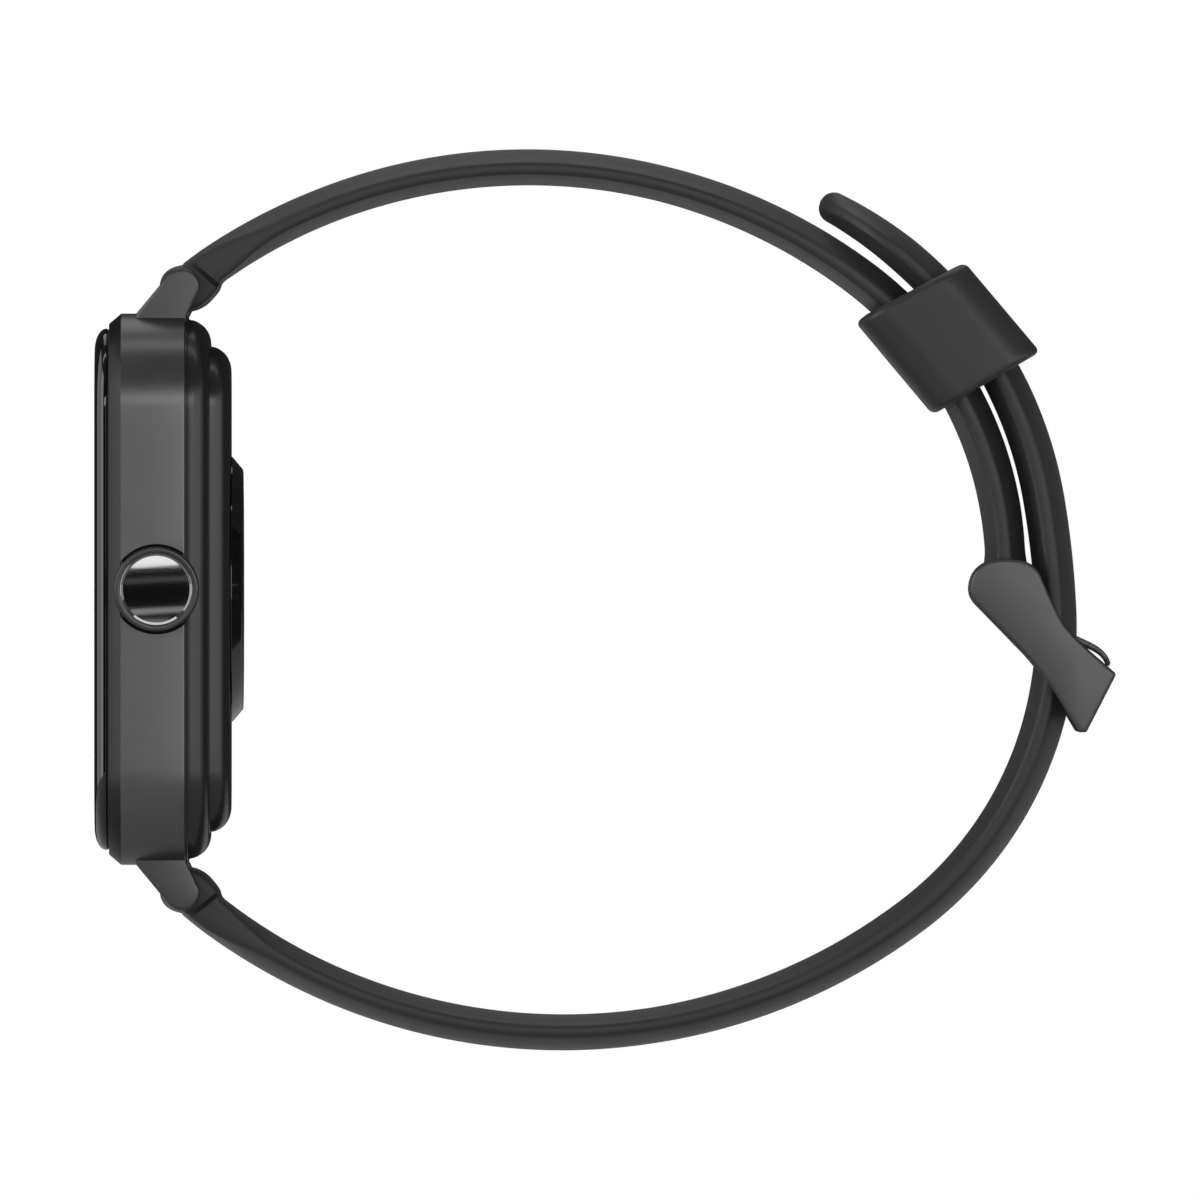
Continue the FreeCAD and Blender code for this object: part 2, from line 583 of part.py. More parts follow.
def buckle():
    """Buckle: two side plates and a cross bar, the pin, and the tongue."""
    y, z = PIVOT
    frame = prism(BAR_OUTLINE, (-PLATE_OUT, PLATE_OUT))
    for x in ((-PLATE_OUT, -PLATE_IN), (PLATE_IN, PLATE_OUT)):
        plate = prism(PLATE_OUTLINE, x).fuse(rod(PLATE_EYE_R, x, y, z))
        frame = frame.fuse(plate.cut(rod(PIN_R + 0.01, (x[0] - 1, x[1] + 1), y, z)))
    save("buckle_frame", frame.removeSplitter())
    save("buckle_pin", rod(PIN_R, (-PIN_REACH, PIN_REACH), y, z))
    half = TONGUE_T / 2
    tongue = rod(TONGUE_EYE_R, (-TONGUE_HALF, TONGUE_HALF), y, z)
    for a, b in zip(TONGUE_LINE, TONGUE_LINE[1:]):
        length = math.hypot(b[0] - a[0], b[1] - a[1])
        n = ((b[1] - a[1]) / length * half, (a[0] - b[0]) / length * half)
        quad = [(a[0] + n[0], a[1] + n[1]), (b[0] + n[0], b[1] + n[1])]
        quad += [(b[0] - n[0], b[1] - n[1]), (a[0] - n[0], a[1] - n[1])]
        tongue = tongue.fuse(prism(quad, (-TONGUE_HALF, TONGUE_HALF)))
        tongue = tongue.fuse(rod(half, (-TONGUE_HALF, TONGUE_HALF), b[0], b[1]))
    tongue = tongue.cut(rod(PIN_BORE_R, (-2, 2), y, z))
    save("buckle_tongue", tongue.removeSplitter())


case_front()
mid_frame()
back_cover()
sensor_group()
inner_group()
crown_group()
spring_bar("upper", 1, SHORT_HEADING - 90)
spring_bar("lower", -1, LONG_HEADING + 90)
short_strap()
long_strap()
keeper()
buckle()
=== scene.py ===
import json
import math

import bmesh
import bpy
import numpy as np
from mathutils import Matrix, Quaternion, Vector


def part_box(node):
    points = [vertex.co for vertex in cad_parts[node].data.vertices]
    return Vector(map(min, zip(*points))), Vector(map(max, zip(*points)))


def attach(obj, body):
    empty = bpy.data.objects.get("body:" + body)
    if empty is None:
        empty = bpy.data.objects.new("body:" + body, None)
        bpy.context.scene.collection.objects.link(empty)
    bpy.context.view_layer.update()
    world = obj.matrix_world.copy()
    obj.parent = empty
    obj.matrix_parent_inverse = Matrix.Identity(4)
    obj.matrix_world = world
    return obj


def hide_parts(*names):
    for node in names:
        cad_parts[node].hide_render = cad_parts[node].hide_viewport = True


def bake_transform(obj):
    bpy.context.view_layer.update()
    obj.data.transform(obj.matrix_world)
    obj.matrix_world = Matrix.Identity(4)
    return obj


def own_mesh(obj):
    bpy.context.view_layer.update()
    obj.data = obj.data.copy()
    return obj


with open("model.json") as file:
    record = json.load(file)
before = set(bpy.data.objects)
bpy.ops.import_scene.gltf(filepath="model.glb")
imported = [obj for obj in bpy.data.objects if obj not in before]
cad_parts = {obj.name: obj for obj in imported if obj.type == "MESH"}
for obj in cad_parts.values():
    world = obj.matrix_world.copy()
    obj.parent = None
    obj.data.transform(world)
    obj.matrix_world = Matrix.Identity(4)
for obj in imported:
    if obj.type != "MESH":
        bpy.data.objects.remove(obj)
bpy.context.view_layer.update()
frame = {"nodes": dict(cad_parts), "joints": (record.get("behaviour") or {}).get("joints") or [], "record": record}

# A rectangular smartwatch on its closed rubber strap. Sizes here are in millimetres and
# become metres when a mesh is made. +Z is 12 o'clock, the glass faces -Y, the crown is at +X.

MM = 0.001
JOINTS = {joint["name"]: joint for joint in frame["joints"]}


def node_box(node):
    """Lowest and highest corners of a CAD node at rest, in millimetres."""
    low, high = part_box(node)
    return np.array(low) / MM, np.array(high) / MM


def joint_place(name):
    """Y and Z of a hinge line along X, in millimetres."""
    place = JOINTS[name]["pos_m"]
    return np.array([place[1] / MM, place[2] / MM])


def full_turn(steps):
    """Angles once round, evenly spaced, without the last one."""
    return np.linspace(0, 2 * np.pi, steps, endpoint=False)


def unit(rows):
    """Each row scaled to a length of one."""
    return rows / np.linalg.norm(rows, axis=1)[:, None]


# Case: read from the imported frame.
GLASS_LOW, GLASS_HIGH = node_box("cover_glass")
SHELL_LOW, SHELL_HIGH = node_box("back_cover")
SEAL_LOW = node_box("back_seal")[0]
WINDOW_HIGH = node_box("sensor_window")[1]
KNOB_LOW, KNOB_HIGH = node_box("crown_knob")
FRAME_LOW, FRAME_HIGH = node_box("mid_frame")
CASE_W = FRAME_HIGH[0] - FRAME_LOW[0]
CASE_H = SHELL_HIGH[2] - SHELL_LOW[2] + 1.0
CASE_CORNER = 7.5
RIM_FRONT = -10.65
FRAME_BACK = SEAL_LOW[1]
SHELL_STEP = -2.65
POCKET_R = 3.6
POCKET_FLOOR = CASE_W / 2 - 1.0
CROWN_AXIS = joint_place("crown_turn")
CROWN_R = (KNOB_HIGH[2] - KNOB_LOW[2]) / 2
CROWN_CLEARANCE = 0.04

# Lugs and straps.
UPPER_AXIS = joint_place("upper_lug_hinge")
LOWER_AXIS = joint_place("lower_lug_hinge")
PIVOT = joint_place("buckle_swing")
LAP_CENTRE = joint_place("keeper_slide")
LUG_R = 1.4
LUG_X = (10.15, 13.1)
STRAP_W = 22.0
NECK_W = 20.0
STRAP_T = 2.9
BARREL_R = 2.1
END_R = 1.9
SHOULDER = 1.7
WRIST_BULGE = 2.2
OUTER_BULGE = 1.8
SHORT_HEADING = 38.12
SHORT_ARCS = ((44.31, 74.79), (29.12, 56.57))
LONG_HEADING = -40.58
LONG_ARCS = ((46.37, 77.85), (28.82, 55.21), (71.42, 7.29), (32.67, 54.23))
HOLE_FIRST = 14.9
HOLE_PITCH = 6.5
HOLE_COUNT = 8
HOLE_W = 2.6
HOLE_L = 4.6
TIP_LENGTH = 8.0


# ---- finishes

def finish(name, color, rough, metallic=0.0, vary=0.12, grain=2600.0, depth=3e-6,
           stretch=(1.0, 1.0, 1.0), coat=0.0, sheen=0.0, specular=0.5):
    """Principled finish: broad noise shifts colour and roughness a little, fine noise makes the grain."""
    material = bpy.data.materials.new(name)
    material.use_nodes = True
    tree = material.node_tree
    join = tree.links.new
    shader = tree.nodes["Principled BSDF"]
    shader.inputs["Metallic"].default_value = metallic
    shader.inputs["Coat Weight"].default_value = coat
    shader.inputs["Coat Roughness"].default_value = 0.05
    shader.inputs["Sheen Weight"].default_value = sheen
    shader.inputs["Sheen Roughness"].default_value = 0.45
    shader.inputs["Specular IOR Level"].default_value = specular
    coords = tree.nodes.new("ShaderNodeTexCoord")
    turn = tree.nodes.new("ShaderNodeMapping")
    turn.inputs["Scale"].default_value = stretch
    join(coords.outputs["Object"], turn.inputs["Vector"])
    broad = tree.nodes.new("ShaderNodeTexNoise")
    broad.inputs["Scale"].default_value = grain / 16
    broad.inputs["Detail"].default_value = 5.0
    join(turn.outputs["Vector"], broad.inputs["Vector"])
    tint = tree.nodes.new("ShaderNodeMix")
    tint.data_type = "RGBA"
    tint.inputs["A"].default_value = tuple(c * (1 - vary) for c in color) + (1.0,)
    tint.inputs["B"].default_value = tuple(c * (1 + vary) for c in color) + (1.0,)
    join(broad.outputs["Fac"], tint.inputs["Factor"])
    join(tint.outputs["Result"], shader.inputs["Base Color"])
    spread = tree.nodes.new("ShaderNodeMapRange")
    spread.inputs["To Min"].default_value = rough * 0.82
    spread.inputs["To Max"].default_value = min(1.0, rough * 1.18)
    join(broad.outputs["Fac"], spread.inputs["Value"])
    join(spread.outputs["Result"], shader.inputs["Roughness"])
    if depth:
        fine = tree.nodes.new("ShaderNodeTexNoise")
        fine.inputs["Scale"].default_value = grain
        fine.inputs["Detail"].default_value = 3.0
        join(turn.outputs["Vector"], fine.inputs["Vector"])
        bump = tree.nodes.new("ShaderNodeBump")
        bump.inputs["Distance"].default_value = depth
        join(fine.outputs["Fac"], bump.inputs["Height"])
        join(bump.outputs["Normal"], shader.inputs["Normal"])
    return material


def lit(name, color, strength):
    """A screen element: glossy like the glass above it, glowing a little unevenly."""
    material = finish(name, color, 0.08, vary=0.05, grain=3000.0, depth=0)
    shader = material.node_tree.nodes["Principled BSDF"]
    tint = material.node_tree.nodes["Mix"]
    material.node_tree.links.new(tint.outputs["Result"], shader.inputs["Emission Color"])
    shader.inputs["Emission Strength"].default_value = strength
    return material


CASE_METAL = finish("satin_case_metal", (0.130, 0.130, 0.133), 0.34, metallic=0.85, vary=0.05,
                    grain=7000.0, depth=1.5e-6)
LUG_METAL = finish("satin_lug_metal", (0.084, 0.084, 0.086), 0.40, metallic=0.85, vary=0.06,
                   grain=7000.0, depth=1.5e-6)
BEZEL_METAL = finish("dark_bezel_metal", (0.028, 0.028, 0.029), 0.36, metallic=0.85, vary=0.06,
                     grain=7000.0, depth=1.2e-6)
BLACK_GLASS = finish("black_glass", (0.0035, 0.0035, 0.004), 0.045, vary=0.2, grain=900.0, depth=0, coat=0.4)
SHELL_GLOSS = finish("gloss_rear_shell", (0.016, 0.016, 0.0165), 0.26, vary=0.15, grain=3200.0, depth=6e-7)
STRAP_RUBBER = finish("strap_rubber", (0.021, 0.021, 0.0215), 0.5, vary=0.10, grain=5200.0,
                      depth=5e-6, sheen=0.08)
KEEPER_RUBBER = finish("keeper_rubber", (0.021, 0.021, 0.0215), 0.46, vary=0.10, grain=4600.0,
                       depth=6e-6, sheen=0.08)
BUCKLE_METAL = finish("brushed_buckle_metal", (0.098, 0.098, 0.10), 0.42, metallic=0.85, vary=0.10,
                      grain=5200.0, depth=2e-6, stretch=(0.25, 1.0, 1.0))
CROWN_METAL = finish("crown_metal", (0.068, 0.068, 0.07), 0.34, metallic=0.9, vary=0.06, grain=6000.0,
                     depth=1.2e-6)
CROWN_FACE = finish("polished_crown_face", (0.27, 0.27, 0.275), 0.06, metallic=1.0, vary=0.15,
                    grain=3500.0, depth=6e-7, stretch=(1.0, 0.08, 1.0))
SEAL_RUBBER = finish("seal_rubber", (0.006, 0.006, 0.006), 0.7, grain=4000.0, depth=3e-6)
SENSOR_GLASS = finish("sensor_glass", (0.006, 0.006, 0.008), 0.08, vary=0.3, grain=1200.0, depth=0, coat=0.5)
LENS_GREEN, LENS_AMBER, LENS_CLEAR = (
    finish("lens_" + tint, color, rough, vary=0.35, grain=9000.0, depth=0, coat=0.6)
    for tint, color, rough in (("green", (0.02, 0.16, 0.07), 0.12), ("amber", (0.22, 0.09, 0.03), 0.12),
                               ("clear", (0.10, 0.11, 0.14), 0.1)))
GOLD = finish("gold_plate", (0.72, 0.50, 0.18), 0.24, metallic=1.0, grain=5000.0, depth=1.5e-6)
STEEL = finish("bright_steel", (0.52, 0.52, 0.53), 0.28, metallic=1.0, vary=0.10, grain=5000.0,
               depth=1.5e-6, stretch=(0.1, 1.0, 1.0))
NICKEL = finish("nickel_plate", (0.56, 0.55, 0.52), 0.3, metallic=1.0, grain=4000.0, depth=2e-6)
BOARD_GREEN = finish("circuit_board", (0.012, 0.075, 0.03), 0.35, vary=0.4, grain=2500.0, depth=4e-6)
INNER_PLASTIC = finish("inner_plastic", (0.02, 0.02, 0.021), 0.55, grain=3500.0, depth=4e-6)
CHIP_EPOXY = finish("chip_epoxy", (0.012, 0.012, 0.013), 0.6, grain=7000.0, depth=3e-6)
CELL_FOIL = finish("battery_foil", (0.33, 0.33, 0.36), 0.34, metallic=0.8, grain=1500.0, depth=8e-6)
RIBBON = finish("amber_ribbon", (0.36, 0.15, 0.02), 0.3, vary=0.3, grain=2500.0, depth=2e-6)
BOND = finish("black_bond", (0.008, 0.008, 0.008), 0.6, grain=3000.0, depth=3e-6)
DISPLAY = finish("display_black", (0.005, 0.005, 0.006), 0.15, grain=2000.0, depth=0)
NYLON = finish("white_nylon", (0.6, 0.6, 0.57), 0.5, grain=4000.0, depth=3e-6)

SLOT_FINISH = {
    "case_metal": CASE_METAL, "cover_glass": BLACK_GLASS, "bond_black": BOND, "display_black": DISPLAY,
    "shell_gloss": SHELL_GLOSS, "seal_rubber": SEAL_RUBBER, "sensor_glass": SENSOR_GLASS,
    "circuit_board": BOARD_GREEN, "lamp_lens": LENS_GREEN, "gold_contact": GOLD, "nickel": NICKEL,
    "inner_plastic": INNER_PLASTIC, "chip_epoxy": CHIP_EPOXY, "steel": STEEL, "battery_foil": CELL_FOIL,
    "ribbon_amber": RIBBON, "switch_white": NYLON, "crown_metal": CROWN_METAL, "crown_face": CROWN_FACE,
    "strap_rubber": STRAP_RUBBER, "keeper_rubber": KEEPER_RUBBER, "buckle_metal": BUCKLE_METAL,
}


# ---- mesh tools

def add_object(name, data):
    """Object holding some data, linked to the scene."""
    made = bpy.data.objects.new(name, data)
    bpy.context.scene.collection.objects.link(made)
    return made


def piece(name, points, faces, material, body=None, slot=None, replaces=(), crease=32):
    """Make one piece from points in millimetres; its faces are turned outwards and its creases kept."""
    mesh = bpy.data.meshes.new(name)
    mesh.from_pydata((np.asarray(points, dtype=float) * MM).tolist(), [], [list(map(int, f)) for f in faces])
    work = bmesh.new()
    work.from_mesh(mesh)
    bmesh.ops.remove_doubles(work, verts=work.verts, dist=1e-7)
    bmesh.ops.dissolve_degenerate(work, edges=work.edges, dist=1e-8)
    bmesh.ops.recalc_face_normals(work, faces=work.faces)
    work.to_mesh(mesh)
    work.free()
    mesh.polygons.foreach_set("use_smooth", [True] * len(mesh.polygons))
    mesh.set_sharp_from_angle(angle=math.radians(crease))
    made = add_object(name, mesh)
    made.data.materials.append(material)
    if body:
        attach(made, body)
    if replaces:
        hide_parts(*replaces)
    return made


def sheet_faces(rows, columns, wrap_rows):
    """Quads between closed rings; the last ring joins the first if wrap_rows."""
    r, c = np.meshgrid(np.arange(rows if wrap_rows else rows - 1), np.arange(columns), indexing="ij")
    r2, c2 = (r + 1) % rows, (c + 1) % columns
    quads = np.stack([r * columns + c, r * columns + c2, r2 * columns + c2, r2 * columns + c], axis=-1)
    return quads.reshape(-1, 4).tolist()


def stack(rings, wrap_rows=False, caps=True):
    """Points and faces of rings joined in order; open ends are closed with one flat face each."""
    rings = np.asarray(rings)
    rows, columns = rings.shape[:2]
    faces = sheet_faces(rows, columns, wrap_rows)
    if caps and not wrap_rows:
        faces += [list(range(columns)), list(range((rows - 1) * columns, rows * columns))]
    return rings.reshape(-1, 3), faces


def rounded_polygon(points, radii, per_corner=9):
    """Closed outline: each corner replaced by an arc of its radius, from tangent point to tangent point."""
    points = np.asarray(points, dtype=float)
    radii = np.broadcast_to(radii, (len(points),)).astype(float)
    before = unit(np.roll(points, 1, axis=0) - points)
    after = unit(np.roll(points, -1, axis=0) - points)
    half = np.arccos(np.clip((before * after).sum(1), -1, 1)) / 2
    centre = points + unit(before + after) * (radii / np.sin(half))[:, None]
    start = points + before * (radii / np.tan(half))[:, None] - centre
    end = points + after * (radii / np.tan(half))[:, None] - centre
    first = np.arctan2(start[:, 1], start[:, 0])
    sweep = (np.arctan2(end[:, 1], end[:, 0]) - first + np.pi) % (2 * np.pi) - np.pi
    t = np.linspace(0, 1, per_corner)
    angle = first[:, None] + sweep[:, None] * t
    arc = np.stack([np.cos(angle), np.sin(angle)], -1) * radii[:, None, None]
    return (centre[:, None, :] + arc).reshape(-1, 2)


def inward(outline, distance):
    """Outline moved inwards by a distance along the mean normal of its two edges at each point."""
    tangent = np.roll(outline, -1, axis=0) - np.roll(outline, 1, axis=0)
    tangent /= np.linalg.norm(tangent, axis=1)[:, None] + 1e-12
    normal = np.stack([-tangent[:, 1], tangent[:, 0]], -1)
    area = (outline[:, 0] * np.roll(outline[:, 1], -1) - np.roll(outline[:, 0], -1) * outline[:, 1]).sum()
    return outline + normal * distance * (1 if area > 0 else -1)


def plate(outline, low, high, round_r, steps=5):
    """Flat piece in the YZ plane from X = low to high; its edges follow a quarter circle of round_r."""
    turn = np.linspace(0, np.pi / 2, steps)
    inset = round_r * (1 - np.sin(turn))
    rise = round_r * (1 - np.cos(turn))
    rings = [with_x(inward(outline, d), low + x) for d, x in zip(inset, rise)]
    rings += [with_x(inward(outline, d), high - x) for d, x in zip(inset[::-1], rise[::-1])]
    return stack(rings)


def with_x(outline, x):
    """YZ outline placed at one X."""
    return np.column_stack([np.full(len(outline), x), outline])


def case_outline(inset, y, corner_steps=18, side_steps=10):
    """Rounded rectangle of the case, moved in by inset, at depth y: corner arcs joined by divided sides."""
    half = np.array([CASE_W / 2 - inset, CASE_H / 2 - inset])
    radius = max(CASE_CORNER - inset, 0.2)
    corners = np.array([[1, 1], [-1, 1], [-1, -1], [1, -1]])
    t = np.linspace(0, np.pi / 2, corner_steps)
    out = []
    for index, sign in enumerate(corners):
        angle = index * np.pi / 2 + t
        centre = sign * (half - radius)
        arc = centre + radius * np.stack([np.cos(angle), np.sin(angle)], -1)
        following = corners[(index + 1) % 4]
        start = following * (half - radius) + radius * np.array([math.cos(angle[-1]), math.sin(angle[-1])])
        share = np.linspace(0, 1, side_steps + 1)[1:-1, None]
        out += [arc, arc[-1] + (start - arc[-1]) * share]
    flat = np.concatenate(out)
    return np.column_stack([flat[:, 0], np.full(len(flat), y), flat[:, 1]])


def arc_profile(start, end, steps):
    """Quarter ellipse from start to end; it leaves start along the second axis."""
    t = np.linspace(0, np.pi / 2, steps)[:, None]
    a, b = 1 - np.cos(t), np.sin(t)
    return np.concatenate([start[0] + (end[0] - start[0]) * a, start[1] + (end[1] - start[1]) * b], 1)


def lathe_x(profile, centre, steps=128, ripple=None, hollow=False):
    """Profile of (x, radius) turned about an X axis through centre; ripple adds to the radius by angle."""
    profile = np.asarray(profile, dtype=float)
    angle = full_turn(steps)
    radius = profile[:, 1, None] * np.ones(steps)
    if ripple is not None:
        radius = radius + ripple(profile, angle)
    y = centre[0] + radius * np.cos(angle)
    z = centre[1] + radius * np.sin(angle)
    x = profile[:, 0, None] * np.ones(steps)
    return stack(np.stack([x, y, z], -1), hollow)


def lathe_y(profile, centre=(0.0, 0.0), steps=128, hollow=False):
    """Profile of (y, radius) turned about a Y axis through centre, given as (x, z)."""
    profile = np.asarray(profile, dtype=float)
    angle = full_turn(steps)
    x = centre[0] + profile[:, 1, None] * np.cos(angle)
    z = centre[1] + profile[:, 1, None] * np.sin(angle)
    y = profile[:, 0, None] * np.ones(steps)
    return stack(np.stack([x, y, z], -1), hollow)


def carve(target, points, faces):
    """Cut a closed shape out of a piece, then put its creases back."""
    cutter = piece("cutter", points, faces, STEEL)
    change = target.modifiers.new("cut", "BOOLEAN")
    change.operation = "DIFFERENCE"
    change.solver = "EXACT"
    change.object = cutter
    graph = bpy.context.evaluated_depsgraph_get()
    result = bpy.data.meshes.new_from_object(target.evaluated_get(graph))
    target.modifiers.clear()
    target.data = result
    bpy.data.objects.remove(cutter)
    result.polygons.foreach_set("use_smooth", [True] * len(result.polygons))
    result.set_sharp_from_angle(angle=math.radians(32))


# ---- case

def cover_glass():
    """Curved-edge cover glass: a quarter-ellipse edge 1.75 wide round a flat front."""
    inset = CASE_W / 2 - GLASS_HIGH[0]
    front, back = GLASS_LOW[1], GLASS_HIGH[1]
    edge = arc_profile((0.0, back - 0.12), (1.75, front), 16)
    profile = [(2.0, back), (0.1, back), (0.02, back - 0.05)]
    profile += edge.tolist() + [(3.0, front), (6.0, front)]
    rings = [case_outline(inset + d, y) for d, y in profile]
    piece("glass", *stack(rings), BLACK_GLASS, "case", "cover_glass", ("cover_glass",), crease=50)


def mid_frame():
    """Metal band: rounded front chamfer, flat side, small rear edge, and the rim under the glass."""
    inner, rim, edge, slope_end = 2.0, 1.15, 0.82, RIM_FRONT + 0.97
    section = rounded_polygon([(inner, FRAME_BACK), (inner, slope_end), (0.0, slope_end), (0.0, FRAME_BACK)],
                              [0.05, 0.03, 0.02, 0.1], 6)
    rings = [case_outline(d, y, 26, 14) for d, y in section]
    band = piece("frame_band", *stack(rings, wrap_rows=True), CASE_METAL, "case", "case_metal",
                 ("mid_frame",), crease=40)
    carve(band, *pocket_cutter(POCKET_R))
    section = rounded_polygon(
        [(inner, slope_end), (inner, RIM_FRONT + 0.1), (rim, RIM_FRONT + 0.1), (rim, RIM_FRONT),
         (edge, RIM_FRONT), (0.0, slope_end)], [0.03, 0.04, 0.03, 0.03, 0.09, 0.02], 6)
    rings = [case_outline(d, y, 26, 14) for d, y in section]
    bezel = piece("front_bezel", *stack(rings, wrap_rows=True), BEZEL_METAL, "case", "case_metal", crease=40)
    carve(bezel, *pocket_cutter(CROWN_R + CROWN_CLEARANCE))
    for side_x in (-1, 1):
        for side_z in (-1, 1):
            lug(side_x, side_z)


def pocket_cutter(radius):
    """Round pocket for the crown, with a floor 1 mm below the side of the case."""
    open_x = CASE_W / 2 + 3
    return lathe_x([(POCKET_FLOOR, 0.4), (POCKET_FLOOR, radius), (open_x, radius), (open_x, 0.4)],
                   CROWN_AXIS, 160)


def tangent_angle(point, centre, radius, side):
    """Angle about a circle's centre of the point where a line from outside touches it."""
    away = point - centre
    reach = np.hypot(*away)
    angle = math.atan2(away[1], away[0]) - side * math.acos(radius / reach)
    return angle % (2 * math.pi) if side > 0 else angle


def lug(side_x, side_z):
    """One lug: a finger slanting back to a round end about the spring bar."""
    axis_y, axis_z = UPPER_AXIS[0], abs(UPPER_AXIS[1])
    centre = np.array([axis_y - 0.22, axis_z - 0.1])
    front_foot, back_foot = np.array([-8.5, axis_z - 2.35]), np.array([-4.44, axis_z - 2.5])
    turn = np.linspace(tangent_angle(front_foot, centre, LUG_R, 1),
                       tangent_angle(back_foot, centre, LUG_R, -1), 30)
    head = centre + LUG_R * np.stack([np.cos(turn), np.sin(turn)], -1)
    outline = np.vstack([[front_foot + (0, -2.0)], [front_foot], head, [back_foot], [back_foot + (0, -2.0)]])
    outline[:, 1] *= side_z
    low, high = LUG_X if side_x > 0 else (-LUG_X[1], -LUG_X[0])
    name = "lug_" + ("right" if side_x > 0 else "left") + ("_upper" if side_z > 0 else "_lower")
    piece(name, *plate(outline, low, high, 0.28), LUG_METAL, "case", "case_metal", crease=40)


def rear_shell():
    """Two-step gloss shell: each step ends in a rounded edge, then a flat with a round hole."""
    front, back = SHELL_LOW[1], SHELL_HIGH[1]
    step = SHELL_STEP
    outside = [(2.6, FRAME_BACK + 0.01), (0.34, FRAME_BACK + 0.01), (0.3, FRAME_BACK + 0.03)]
    outside += [(0.3, front - 0.08), (0.36, front - 0.03), (0.5, front)]
    outside += arc_profile((0.5, front + 0.06), (2.35, step), 14).tolist()
    outside += [(2.55, step + 0.01), (2.62, step + 0.06)]
    outside += arc_profile((2.64, step + 0.12), (4.55, back), 12).tolist()
    outside += [(6.0, back)]
    rings = [case_outline(d, y) for d, y in outside]
    flat = case_outline(6.0, back)
    around = np.arctan2(flat[:, 2], flat[:, 0])
    hole = WINDOW_HIGH[2] - 0.75
    circle = np.column_stack([hole * np.cos(around), np.full(len(flat), back), hole * np.sin(around)])
    for share in (0.5, 1.0):
        rings.append(flat + (circle - flat) * share)
    deeper = circle.copy()
    deeper[:, 1] = back - 0.9
    wall = 3.2
    rings += [deeper, case_outline(wall, back - 1.0), case_outline(wall, FRAME_BACK + 0.02)]
    shell = piece("rear_shell", *stack(rings, wrap_rows=True), SHELL_GLOSS, "case", "shell_gloss",
                  ("back_cover",), crease=38)
    carve(shell, *pocket_cutter(CROWN_R + CROWN_CLEARANCE))


def sensor_window():
    """Round sensor disc with a 45 degree bevel, a fine ring, and its lenses just proud of the face."""
    face, base = WINDOW_HIGH[1], SHELL_HIGH[1]
    radius = WINDOW_HIGH[2]
    profile = [(base - 0.5, radius - 0.9), (base, radius - 0.85), (base + 0.02, radius - 0.05)]
    profile += [(base + 0.1, radius), (base + 0.16, radius - 0.02), (face - 0.14, radius - 0.88)]
    profile += [(face - 0.05, radius - 0.99), (face - 0.01, radius - 1.12), (face, radius - 1.3)]
    profile += [(face, radius - 2.2), (face - 0.05, radius - 2.26), (face - 0.05, radius - 2.46)]
    profile += [(face, radius - 2.52), (face, 3.0)]
    piece("sensor_disc", *lathe_y(profile, steps=160), SENSOR_GLASS, "case", "sensor_glass",
          ("sensor_window",), crease=25)
    lens("lens_centre", (0.0, 0.0), 1.5, LENS_GREEN)
    for index, angle in enumerate(np.radians([0, 90, 180, 270])):
        spot = (4.3 * math.cos(angle), 4.3 * math.sin(angle))
        lens("lens_" + str(index + 1), spot, 1.05, LENS_AMBER if index % 2 else LENS_CLEAR)


def lens(name, spot, half, material):
    """Small square window with rounded corners, slightly crowned: height falls as the fourth power."""
    outline = rounded_polygon([(-half, -half), (half, -half), (half, half), (-half, half)], 0.35, 6)
    face = WINDOW_HIGH[1]
    rings = []
    for s in (1.0, 1.0, 0.96, 0.85, 0.6, 0.3):
        height = 0.022 * (1 - s ** 4) + 0.006
        depth = face - 0.03 if not rings else face + height
        rings.append(np.column_stack([spot[0] + outline[:, 0] * s, np.full(len(outline), depth),
                                      spot[1] + outline[:, 1] * s]))
    piece(name, *stack(rings), material, "case", "lamp_lens", crease=60)


def charge_pads():
    """Two plated contacts, each a shallow button in a fine dark ring."""
    box_low, box_high = node_box("charge_contacts")
    level = SHELL_HIGH[1]
    z = (box_low[2] + box_high[2]) / 2
    radius = (box_high[2] - box_low[2]) / 2
    x = box_high[0] - radius
    for side, name in ((-1, "left"), (1, "right")):
        ring = [(level - 0.2, radius + 0.22), (level + 0.012, radius + 0.22), (level + 0.012, radius + 0.02),
                (level - 0.2, radius + 0.02)]
        piece("contact_ring_" + name, *lathe_y(ring, (side * x, z), 64, True), SEAL_RUBBER, "case",
              "seal_rubber")
        button = [(level - 0.2, radius), (level, radius), (level + 0.02, radius - 0.05),
                  (level + 0.028, radius - 0.2), (level + 0.015, radius * 0.4), (level + 0.012, 0.02)]
        replaced = ("charge_contacts",) if side > 0 else ()
        piece("contact_" + name, *lathe_y(button, (side * x, z), 64), GOLD, "case", "gold_contact", replaced)


